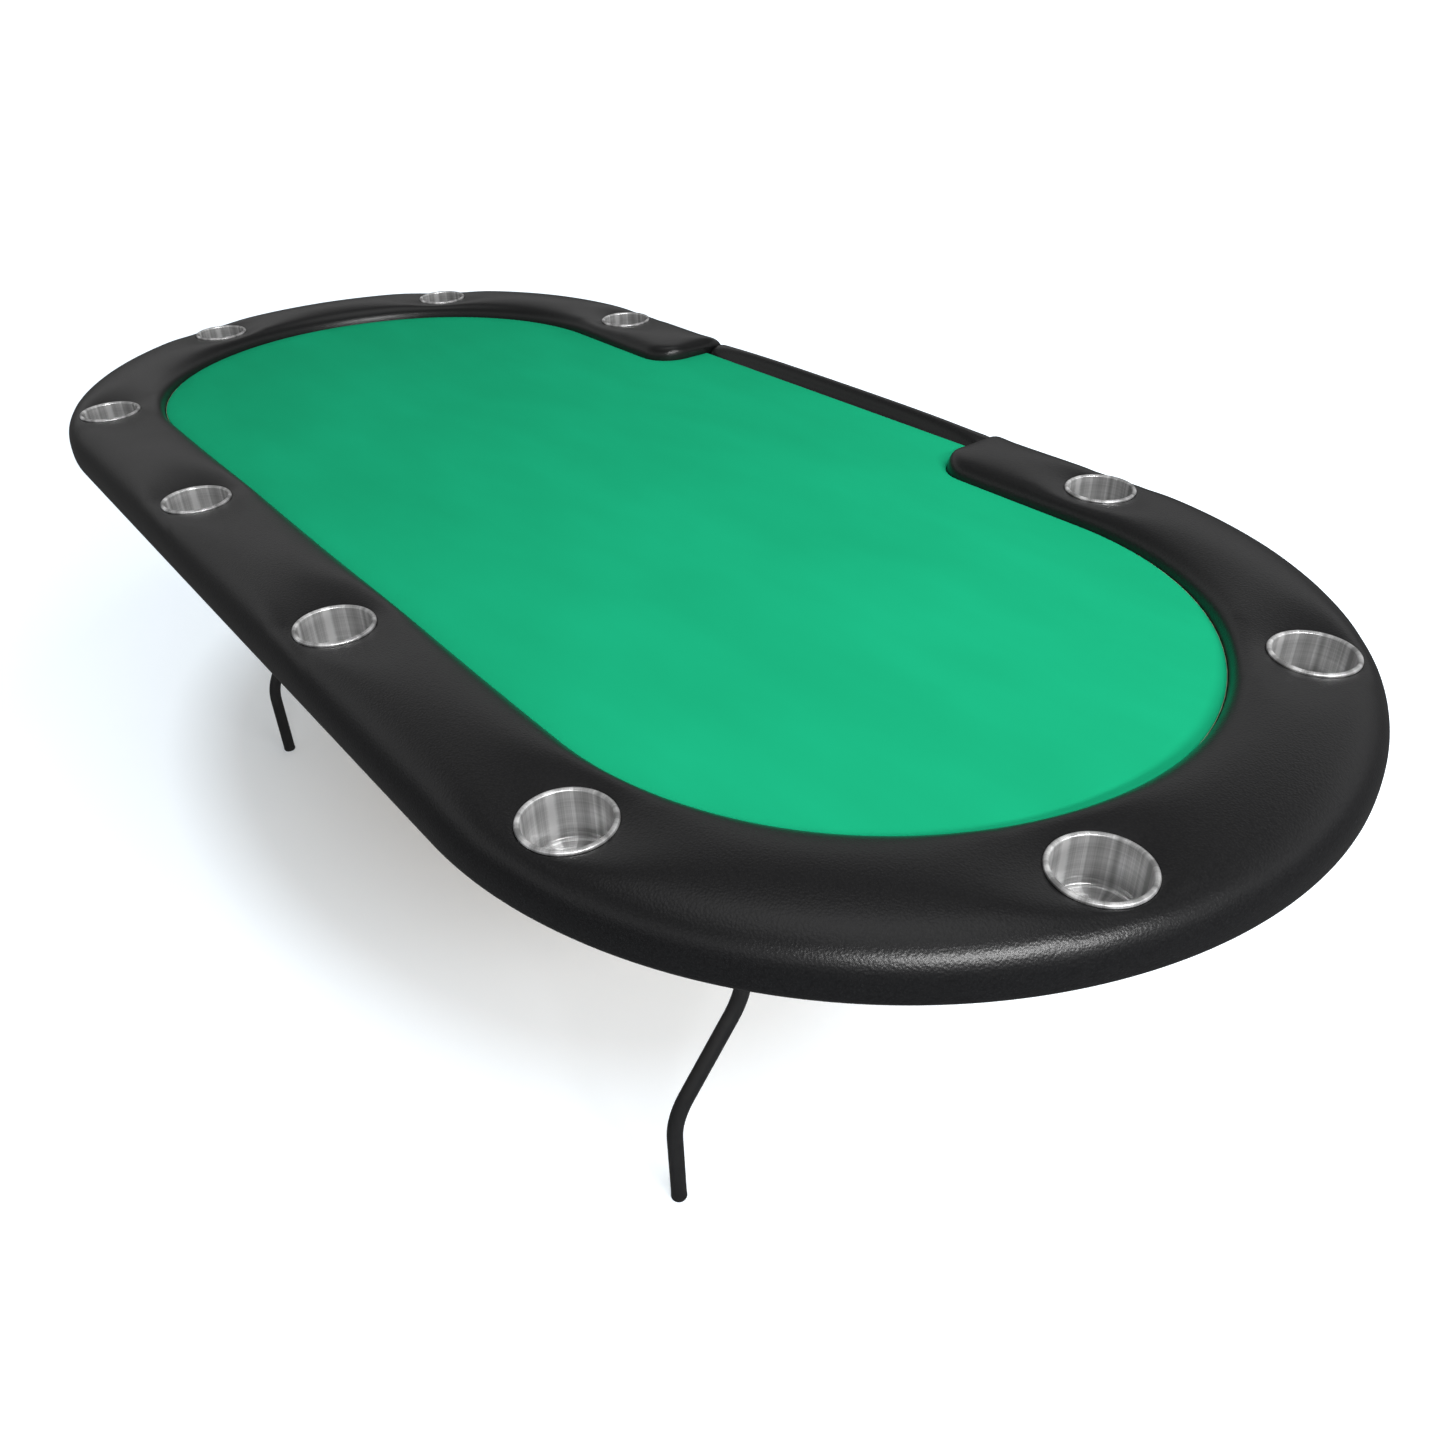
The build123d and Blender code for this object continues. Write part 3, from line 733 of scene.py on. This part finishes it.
def make_rail():
    """The padded C-shaped rail in black leatherette, with its ten cup holes."""
    runs = rail_stations()
    skin_rows, inside_rows = rail_skin_rows(), rail_inside_rows()
    last = len(runs) - 1 - BOARD_STATION
    points, held, skin, inside, sharp, holes = [], [], [], [], [], set()
    for station, run in enumerate(runs):
        q = min(run, RAIL_RUN - run)
        outer, inner = stand_back(END_OUTER_R, q), stand_back(END_INNER_R, q)
        narrow = (RAIL_W - outer - inner) / RAIL_W
        middle = near_cup(station)
        i = station - middle
        numbers = []
        for row, (inset, height) in enumerate(skin_rows):
            j = row - CUP_ROW
            along, inset = round_the_cup(run - runs[middle], inset, i, j)
            free = HEM_COUNT <= row < len(skin_rows) - 2
            if free:
                height = rail_height(row, run, inset, height, along)
            ring = max(abs(i), abs(j))
            if ring < HOLE_RING:
                holes.add(len(points))
            numbers.append(len(points))
            points.append(placed(runs[middle] + along, outer + inset * narrow, height))
            held.append(0.0 if free and ring > HOLE_RING else 1.0)
        skin.append(numbers)
        sharp += [numbers[0], numbers[-1]]
        numbers = []
        if BOARD_STATION <= station <= last:
            for row, (inset, height) in enumerate(inside_rows):
                j = INSIDE_CUP_ROW - row
                along, inset = round_the_cup(run - runs[middle], inset, i, j)
                if max(abs(i), abs(j)) < HOLE_RING:
                    holes.add(len(points))
                numbers.append(len(points))
                points.append(placed(runs[middle] + along, inset, height))
                held.append(1.0)
            sharp += numbers
        inside.append(numbers)
    faces = [face for face in bar_faces(skin, inside, BOARD_STATION, last) if not holes.intersection(face)]
    for middle in CUP_STATIONS:
        ring = square_ring(HOLE_RING)
        upper = [skin[middle + i][CUP_ROW + j] for i, j in ring]
        lower = [inside[middle + i][INSIDE_CUP_ROW - j] for i, j in ring]
        for n in range(len(ring)):
            m = (n + 1) % len(ring)
            faces.append((upper[n], upper[m], lower[m], lower[n]))
    kept = [number for number in range(len(points)) if number not in holes]
    renumbered = {number: place for place, number in enumerate(kept)}
    points = [points[number] for number in kept]
    held = [held[number] for number in kept]
    faces = [tuple(renumbered[number] for number in face) for face in faces]
    piece = mesh_piece("rail_padding", points, faces)
    sharpened(piece, [renumbered[number] for number in sharp if number in renumbered])
    blown_up(piece, held, RAIL_SWELL)
    subdivided(piece)
    settle(piece, "rail_vinyl", "table_top", "rail_cover", "rail_foam")


def square_ring(reach):
    """The cells of a square ring in order, reach cells from its middle."""
    right = [(reach, j) for j in range(-reach, reach)]
    top = [(i, reach) for i in range(reach, -reach, -1)]
    left = [(-reach, j) for j in range(reach, -reach, -1)]
    bottom = [(i, -reach) for i in range(-reach, reach)]
    return right + top + left + bottom


# ================================================================== the dealer's strip
STRIP_ARC = 12             # steps over the strip's half round
STRIP_STATIONS = 60
STRIP_BOARD_STATION = 1
STRIP_DROP = 24 * MM       # height of the rounding on the outer side
STRIP_PLAY = 0.3 * MM      # how far the strip runs under the rail's rounded ends
TUCK = 2.5 * MM            # how far the strip dips where it meets the rail
TUCK_RUN = 24 * MM


def strip_skin_rows():
    """The low strip's cross section from hem to foot, as (inset, height)."""
    inner_drop = STRIP_TOP - FELT_TOP + 1 * MM
    rows = hem_rows()
    rows.append((0.0, 0.5 * (UNDER + HEM_R + STRIP_TOP - STRIP_DROP)))
    for n in range(STRIP_ARC + 1):
        turn = math.pi * n / STRIP_ARC
        drop = STRIP_DROP if n < STRIP_ARC / 2 else inner_drop
        inset = 0.5 * STRIP_W * (1 - math.cos(turn))
        rows.append((inset, STRIP_TOP - START_DROP - drop * (1 - math.sin(turn))))
    rows += [(STRIP_W, FELT_TOP - FOOT_DROP), (STRIP_W, BOARD_SEAM)]
    return rows


def strip_inside_rows():
    """The cavity round the strip's board, from the foot back to the hem."""
    top = strip_board_high.z + BOARD_PLAY
    inner = END_R - strip_board_low.y
    rows = [(inner, BOARD_SEAM), (inner, top), (BOARD_INSET, top)]
    return rows + [(BOARD_INSET, BOARD_BOTTOM), (HEM_TURN, BOARD_BOTTOM)]


def make_strip():
    """The low half-round padded strip that closes the dealer's opening."""
    skin_rows, inside_rows = strip_skin_rows(), strip_inside_rows()
    last = STRIP_STATIONS - STRIP_BOARD_STATION
    points, held, skin, inside, sharp = [], [], [], [], []
    for station in range(STRIP_STATIONS + 1):
        share = 1 - 2 * station / STRIP_STATIONS
        numbers = []
        for row, (inset, height) in enumerate(skin_rows):
            reach = GAP_HALF + stand_back(END_OUTER_R, inset) - STRIP_PLAY
            q = reach * (1 - abs(share))
            free = HEM_COUNT < row < len(skin_rows) - 2
            if free and q < TUCK_RUN:
                height -= TUCK * (1 - q / TUCK_RUN) ** 2
            numbers.append(len(points))
            points.append((share * reach, END_R - inset, height))
            held.append(0.0 if free else 1.0)
        skin.append(numbers)
        sharp += [numbers[0], numbers[-1]]
        numbers = []
        if STRIP_BOARD_STATION <= station <= last:
            for inset, height in inside_rows:
                numbers.append(len(points))
                points.append((share * GAP_HALF, END_R - inset, height))
                held.append(1.0)
            sharp += numbers
        inside.append(numbers)
    piece = mesh_piece("strip_padding", points, bar_faces(skin, inside, STRIP_BOARD_STATION, last))
    sharpened(piece, sharp)
    blown_up(piece, held, STRIP_SWELL)
    subdivided(piece)
    settle(piece, "rail_vinyl", "table_top", "strip_cover", "strip_foam")


# ================================================================== the playing cloth
CLOTH_STEP = 24 * MM        # spacing of the cloth's mesh
CLOTH_EDGE = ((3.2, 0.0), (1.6, 0.35), (0.5, 1.3), (0.0, 3.2), (0.0, 8.5))    # inset, drop in mm
CLOTH_THICKNESS = 1.2 * MM
CLOTH_FIELD = (2.2, 1.0)    # length and width that the mesh's points cover
CLOTH_EASE = (0.12, 0.13)   # waviness of the stretched cloth and its mean sag, in mm


def arc_points(centre, radius, start, stop, facing=1):
    """Points round an arc with their outward directions, from start to stop degrees."""
    steps = max(6, int(abs(math.radians(stop - start)) * radius / (0.5 * CLOTH_STEP)))
    made = []
    for n in range(steps + 1):
        turn = math.radians(start + (stop - start) * n / steps)
        out = Vector((math.cos(turn), math.sin(turn)))
        made.append((Vector(centre) + radius * out, facing * out))
    return made


def straight_points(start, stop, out):
    """Points between two ends of a straight edge, the ends left out."""
    start, stop = Vector(start), Vector(stop)
    steps = max(2, int((stop - start).length / (0.5 * CLOTH_STEP)))
    return [(start.lerp(stop, n / steps), Vector(out)) for n in range(1, steps)]


def cloth_outline():
    """The playing surface's edge with its outward directions, from the front right round."""
    side = GAP_HALF - GAP
    shoulder = (GAP_HALF + END_INNER_R, FELT_R + GAP + END_INNER_R)
    edge = arc_points((STRAIGHT, 0), FELT_R, -90, 90)
    edge += straight_points((STRAIGHT, FELT_R), (shoulder[0], FELT_R), (0, 1))
    edge += arc_points(shoulder, END_INNER_R + GAP, -90, -180, facing=-1)
    edge += straight_points((side, shoulder[1]), (side, FELT_BACK), (1, 0))
    edge.append((Vector((side, FELT_BACK)), Vector((1, 1))))
    edge += straight_points((side, FELT_BACK), (0, FELT_BACK), (0, 1))
    mirrored = [(Vector((-p.x, p.y)), Vector((-n.x, n.y))) for p, n in reversed(edge)]
    edge.append((Vector((0, FELT_BACK)), Vector((0, 1))))
    front = straight_points((-STRAIGHT, -FELT_R), (STRAIGHT, -FELT_R), (0, -1))
    return edge + mirrored + front


def inside_outline(spot, outline):
    """Whether a point lies inside a closed outline."""
    crossings = 0
    for a, b in zip(outline, outline[1:] + outline[:1]):
        if (a.y > spot.y) != (b.y > spot.y):
            if spot.x < a.x + (spot.y - a.y) * (b.x - a.x) / (b.y - a.y):
                crossings += 1
    return crossings % 2 == 1


def make_cloth():
    """Green cloth stretched over the foam and turned down at its edge."""
    outline = cloth_outline()
    loops = [[point - inset * MM * out for point, out in outline] for inset, drop in CLOTH_EDGE]
    clearance = [point - 0.4 * CLOTH_STEP * out for point, out in outline]
    inner = []
    columns, rows = (int(side / CLOTH_STEP) for side in CLOTH_FIELD)
    for n in range(columns):
        for m in range(rows):
            spot = Vector(((n - columns / 2) * CLOTH_STEP, (m + 0.5 * (n % 2)) * CLOTH_STEP - FELT_R))
            if inside_outline(spot, clearance):
                inner.append(spot)
    count = len(outline)
    edges = [(n, (n + 1) % count) for n in range(count)]
    flat = delaunay_2d_cdt(loops[0] + inner, edges, [list(range(count))], 1, 1e-6)
    points = [(spot.x, spot.y, FELT_TOP) for spot in flat[0]]
    faces = [tuple(face) for face in flat[2]]
    ring = list(range(count))
    for loop, (inset, drop) in zip(loops[1:], CLOTH_EDGE[1:]):
        following = list(range(len(points), len(points) + count))
        points += [(spot.x, spot.y, FELT_TOP - drop * MM) for spot in loop]
        for n in range(count):
            m = (n + 1) % count
            faces.append((ring[n], ring[m], following[m], following[n]))
        ring = following
    piece = mesh_piece("playing_cloth", points, faces)
    for point in piece.data.vertices:
        x, y = point.co.x, point.co.y
        wave = math.sin(9.0 * x + 2.1 * math.sin(5.0 * y)) * math.sin(11.0 * y + 1.3)
        point.co.z += (CLOTH_EASE[0] * wave - CLOTH_EASE[1]) * MM
    wall = piece.modifiers.new("thickness", "SOLIDIFY")
    wall.thickness = CLOTH_THICKNESS
    wall.offset = -1
    applied(piece)
    settle(piece, "felt_green", "table_top", "felt")
    wide, long = FELT_R + FELT_BACK, 2 * (STRAIGHT + FELT_R)
    wrap = 2 * CLOTH_EDGE[-1][1] * MM
    flat = (wide + wrap, long + wrap)


# ================================================================== the cup holders
CUP_STEPS = 96             # steps round a cup
CUP_WALL = 1.0 * MM
CUP_CORNER = 5.0 * MM
CUP_LIP = 3.1 * MM         # radius of the rolled rim
CUP_FLOOR = (              # the floor's raised middle: radius, rise in mm
    (0.0, 0.5), (12.0, 0.5), (24.0, 0.5), (28.5, 0.42), (29.5, 0.05), (30.5, 0.0), (35.0, 0.0)
)
CUP_GROOVE = ((0.0, -0.7), (0.22, -0.3), (0.22, 0.3), (0.0, 0.7))    # depth, height in mm


def cup_profile():
    """The drawn steel cup from the middle of its floor, over the rolled rim and back."""
    floor = CUP_RIM - CUP_DEPTH + CUP_WALL
    wall = CUP_R - 6 * MM
    profile = [(radius * MM, floor + rise * MM) for radius, rise in CUP_FLOOR]
    for n in range(7):
        turn = 0.5 * math.pi * n / 6
        profile.append((wall - CUP_CORNER * (1 - math.sin(turn)), floor + CUP_CORNER * (1 - math.cos(turn))))
    groove = floor + 8 * MM
    profile += [(wall + depth * MM, groove + height * MM) for depth, height in CUP_GROOVE]
    profile += [(wall, floor + share * (CUP_DEPTH - 4.5 * MM)) for share in (0.35, 0.6, 0.85)]
    middle = (wall + CUP_LIP, CUP_RIM - CUP_LIP)
    for n in range(11):
        turn = math.radians(180 - 21 * n)
        profile.append((middle[0] + CUP_LIP * math.cos(turn), middle[1] + CUP_LIP * math.sin(turn)))
    profile += [(wall + 2 * CUP_WALL, CUP_RIM - 4.2 * MM), (wall + CUP_WALL, CUP_RIM - 5.6 * MM)]
    outer = wall + CUP_WALL
    low = floor - CUP_WALL
    round_out = CUP_CORNER + CUP_WALL
    for n in range(7):
        turn = 0.5 * math.pi * (6 - n) / 6
        profile.append((outer - round_out * (1 - math.sin(turn)), low + round_out * (1 - math.cos(turn))))
    profile += [(0.02, low), (0.0, low)]
    return profile


def turned_piece(name, profile, centre):
    """Revolve a closed profile about an upright axis, with a note of each point's turn and run."""
    points, faces, notes, run = [], [], [], 0.0
    rings = []
    for number, (radius, height) in enumerate(profile):
        if number:
            before = profile[number - 1]
            run += math.hypot(radius - before[0], height - before[1])
        steps = CUP_STEPS if radius > 0 else 1
        ring = []
        for n in range(steps):
            turn = 2 * math.pi * n / CUP_STEPS
            out = (math.cos(turn), math.sin(turn))
            ring.append(len(points))
            points.append((centre.x + radius * out[0], centre.y + radius * out[1], height))
            notes.append((out[0], out[1], run))
        rings.append(ring)
    for near, far in zip(rings, rings[1:]):
        for n in range(CUP_STEPS):
            m = (n + 1) % CUP_STEPS
            if len(near) == 1:
                faces.append((near[0], far[m], far[n]))
            elif len(far) == 1:
                faces.append((near[n], near[m], far[0]))
            else:
                faces.append((near[n], near[m], far[m], far[n]))
    piece = mesh_piece(name, points, faces)
    turned = piece.data.attributes.new("turned", "FLOAT_VECTOR", "POINT")
    for number, note in enumerate(notes):
        turned.data[number].vector = note
    return piece


def make_cups():
    """Ten stainless cup holders, each riding on its own body."""
    profile = cup_profile()
    for number, (node, centre) in enumerate(zip(CUP_NAMES, CUP_CENTRES), start=1):
        piece = turned_piece(f"steel_cup_{number:02d}", profile, centre)
        settle(piece, "cup_steel", f"cup_{number:02d}", node)


# ================================================================== screws and staples
def tree_with_inputs(name, sizes):
    """A Geometry Nodes tree with a mesh, a material and named sizes as its inputs."""
    tree = bpy.data.node_groups.new(name, "GeometryNodeTree")
    face = tree.interface
    face.new_socket("Geometry", in_out="INPUT", socket_type="NodeSocketGeometry")
    for size in sizes:
        face.new_socket(size, in_out="INPUT", socket_type="NodeSocketFloat")
    face.new_socket("Finish", in_out="INPUT", socket_type="NodeSocketMaterial")
    face.new_socket("Geometry", in_out="OUTPUT", socket_type="NodeSocketGeometry")
    return tree, tree.nodes.new("NodeGroupInput"), tree.nodes.new("NodeGroupOutput")


def grown(piece, tree, sizes, slot):
    """Run a tree on a piece with its named inputs set, and keep the result as plain mesh."""
    grower = piece.modifiers.new(tree.name, "NODES")
    grower.node_group = tree
    values = {**sizes, "Finish": FINISHES[slot]}
    for item in tree.interface.items_tree:
        if item.in_out == "INPUT" and item.name in values:
            grower[item.identifier] = values[item.name]
    return applied(piece)


DOME_POWER, DOME_DROP = 2.6, 0.62    # shape of a pan head, from flat top to upright side
RECESS_SINK = -0.62                  # middle of the cross recess, in head heights
RECESS_LENGTH = 1.15                 # in head radii
SHANK_TIP = 0.35                     # radius of the point, in shank radii
SCREW_SEED, STAPLE_SEED = 11, 5
STAPLE_TURN = 0.35                   # most that a staple lies askew, in radians
STAPLE_BEND = 7.0                    # how sharply a staple's legs turn down


def screw_tree():
    """Pan-head screws with a cross recess, one hanging head down at each point."""
    sizes = ("Head Radius", "Head Height", "Shank Radius", "Shank Length", "Recess Width")
    tree, given, result = tree_with_inputs("pan_head_screws", sizes)
    t, size = Tree(tree), given.outputs
    head = t.add(
        "GeometryNodeMeshCylinder",
        {"Radius": size["Head Radius"], "Depth": size["Head Height"]},
        Vertices=24,
        Side_Segments=5,
        Fill_Segments=1,
    )
    place = t.add("GeometryNodeInputPosition")
    parts = t.add("ShaderNodeSeparateXYZ", {"Vector": place.outputs[0]})
    below = t.math("SUBTRACT", t.math("MULTIPLY", size["Head Height"], 0.5), parts.outputs[2])
    curve = t.math("POWER", t.math("DIVIDE", below, size["Head Height"]), DOME_POWER)
    dome = t.math("SQRT", t.math("SUBTRACT", 1.0, t.math("MULTIPLY", curve, DOME_DROP)), 0)
    domed = t.add(
        "ShaderNodeCombineXYZ",
        {
            "X": t.math("MULTIPLY", parts.outputs[0], dome),
            "Y": t.math("MULTIPLY", parts.outputs[1], dome),
            "Z": parts.outputs[2],
        },
    )
    wires = {"Geometry": head.outputs["Mesh"], "Position": domed.outputs[0]}
    shaped = t.add("GeometryNodeSetPosition", wires)
    bar_size = t.add(
        "ShaderNodeCombineXYZ",
        {
            "X": t.math("MULTIPLY", size["Head Radius"], RECESS_LENGTH),
            "Y": size["Recess Width"],
            "Z": size["Head Height"],
        },
    )
    bar = t.add("GeometryNodeMeshCube", {"Size": bar_size.outputs[0]})
    sunk = t.add("ShaderNodeCombineXYZ", {"Z": t.math("MULTIPLY", size["Head Height"], RECESS_SINK)})
    cut = shaped.outputs[0]
    for turn in (0, math.pi / 2):
        wires = {"Geometry": bar.outputs["Mesh"], "Translation": sunk.outputs[0]}
        cutter = t.add("GeometryNodeTransform", wires)
        cutter.inputs["Rotation"].default_value = (0, 0, turn)
        wires = {"Mesh 1": cut, "Mesh 2": cutter.outputs[0]}
        cut = t.add("GeometryNodeMeshBoolean", wires, operation="DIFFERENCE").outputs["Mesh"]
    shank = t.add(
        "GeometryNodeMeshCone",
        {
            "Radius Bottom": size["Shank Radius"],
            "Radius Top": t.math("MULTIPLY", size["Shank Radius"], SHANK_TIP),
            "Depth": size["Shank Length"],
        },
        Vertices=12,
    )
    whole = t.add("GeometryNodeJoinGeometry")
    t.wire(cut, whole.inputs[0])
    t.wire(shank.outputs["Mesh"], whole.inputs[0])
    heading = t.add("FunctionNodeRandomValue", data_type="FLOAT_VECTOR")
    heading.inputs["Max"].default_value = (0, 0, math.pi)
    heading.inputs["Seed"].default_value = SCREW_SEED
    spread = t.add(
        "GeometryNodeInstanceOnPoints",
        {
            "Points": size["Geometry"],
            "Instance": whole.outputs[0],
            "Rotation": heading.outputs[0],
        },
    )
    finish_tree(t, spread.outputs[0], given, result)
    return tree


def finish_tree(t, instances, given, result):
    """Realise the copies and give them their finish."""
    real = t.add("GeometryNodeRealizeInstances", {"Geometry": instances})
    wires = {"Geometry": real.outputs[0], "Material": given.outputs["Finish"]}
    painted = t.add("GeometryNodeSetMaterial", wires)
    t.wire(painted.outputs[0], result.inputs[0])


def staple_tree():
    """Staples lying along a line, each a little askew."""
    tree, given, result = tree_with_inputs("staples", ("Crown", "Wire", "Spacing"))
    t, size = Tree(tree), given.outputs
    half = t.math("MULTIPLY", size["Crown"], 0.5)
    start = t.add("ShaderNodeCombineXYZ", {"X": t.math("MULTIPLY", half, -1.0)})
    stop = t.add("ShaderNodeCombineXYZ", {"X": half})
    wire = t.add("GeometryNodeCurvePrimitiveLine", {"Start": start.outputs[0], "End": stop.outputs[0]})
    even = t.add("GeometryNodeResampleCurve", {"Curve": wire.outputs[0]}, Count=9)
    place = t.add("GeometryNodeInputPosition")
    parts = t.add("ShaderNodeSeparateXYZ", {"Vector": place.outputs[0]})
    share = t.math("DIVIDE", t.math("ABSOLUTE", parts.outputs[0], 0), half)
    sunk = t.add(
        "ShaderNodeCombineXYZ",
        {"Z": t.math("MULTIPLY", t.math("POWER", share, STAPLE_BEND), size["Wire"])},
    )
    bent = t.add("GeometryNodeSetPosition", {"Geometry": even.outputs[0], "Offset": sunk.outputs[0]})
    gauge = t.add(
        "GeometryNodeCurvePrimitiveCircle",
        {"Radius": t.math("MULTIPLY", size["Wire"], 0.5)},
        Resolution=6,
    )
    wires = {"Curve": bent.outputs[0], "Profile Curve": gauge.outputs[0]}
    body = t.add("GeometryNodeCurveToMesh", wires)
    body.inputs["Fill Caps"].default_value = True
    line = t.add("GeometryNodeMeshToCurve", {"Mesh": size["Geometry"]})
    spots = t.add(
        "GeometryNodeCurveToPoints",
        {"Curve": line.outputs[0], "Length": size["Spacing"]},
        mode="LENGTH",
    )
    askew = t.add("FunctionNodeRandomValue", data_type="FLOAT_VECTOR")
    askew.inputs["Min"].default_value = (0, 0, -STAPLE_TURN)
    askew.inputs["Max"].default_value = (0, 0, STAPLE_TURN)
    askew.inputs["Seed"].default_value = STAPLE_SEED
    heading = t.add("FunctionNodeAlignRotationToVector", {"Vector": spots.outputs["Tangent"]}, axis="X")
    wires = {"Rotation": heading.outputs[0], "Rotate By": askew.outputs[0]}
    turned = t.add("FunctionNodeRotateRotation", wires)
    spread = t.add(
        "GeometryNodeInstanceOnPoints",
        {"Points": spots.outputs["Points"], "Instance": body.outputs[0], "Rotation": turned.outputs[0]},
    )
    finish_tree(t, spread.outputs[0], given, result)
    return tree


SCREW_APART = 9 * MM        # points closer than this belong to one screw
STAPLE_INSET = HEM_TURN - 8 * MM
STAPLE_STEPS = 64           # steps of the staples' line round each end


def screw_places(node):
    """The axis of each screw in a CAD node of many screws."""
    axes = []
    for point in NODES[node].data.vertices:
        spot = point.co.to_2d()
        if all((spot - axis).length > SCREW_APART for axis in axes):
            axes.append(spot)
    groups = [[] for axis in axes]
    for point in NODES[node].data.vertices:
        spot = point.co.to_2d()
        nearest = min(range(len(axes)), key=lambda n: (spot - axes[n]).length)
        groups[nearest].append(spot)
    centres = []
    for group in groups:
        wide, deep = [s.x for s in group], [s.y for s in group]
        centres.append(Vector(((min(wide) + max(wide)) / 2, (min(deep) + max(deep)) / 2)))
    return centres


def make_screws():
    """The pan-head screws under the top."""
    tree, head = screw_tree(), 2.0 * MM
    for node, name in (("bracket_screws", "bracket_screw_set"), ("board_screws", "board_screw_set")):
        low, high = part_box(node)
        places = [(spot.x, spot.y, low.z + 0.5 * head) for spot in screw_places(node)]
        piece = mesh_piece(name, places, [])
        sizes = {
            "Head Radius": 4.0 * MM,
            "Head Height": head,
            "Shank Radius": 1.9 * MM,
            "Shank Length": high.z - low.z - 0.5 * head,
            "Recess Width": 0.85 * MM,
        }
        grown(piece, tree, sizes, "screw_zinc")
        settle(piece, "screw_zinc", "table_top", node)


def make_staples():
    """The staples that hold the cover's hem to the board."""
    radius, height = END_R - STAPLE_INSET, UNDER - 0.2 * MM
    points = []
    for side, start in ((1, -90), (-1, 90)):
        for n in range(STAPLE_STEPS + 1):
            turn = math.radians(start + 180 * n / STAPLE_STEPS)
            points.append((side * STRAIGHT + radius * math.cos(turn), radius * math.sin(turn), height))
    edges = [(n, (n + 1) % len(points)) for n in range(len(points))]
    mesh = bpy.data.meshes.new("cover_staples")
    mesh.from_pydata(points, edges, [])
    piece = link(bpy.data.objects.new("cover_staples", mesh))
    sizes = {"Crown": 10 * MM, "Wire": 0.9 * MM, "Spacing": 21 * MM}
    grown(piece, staple_tree(), sizes, "screw_zinc")
    settle(piece, "screw_zinc", "table_top")


# ================================================================== put it together
finish_cad_nodes()
place_camera()
light_studio()
lay_floor()
make_rail()
make_strip()
make_cloth()
make_cups()
make_screws()
make_staples()
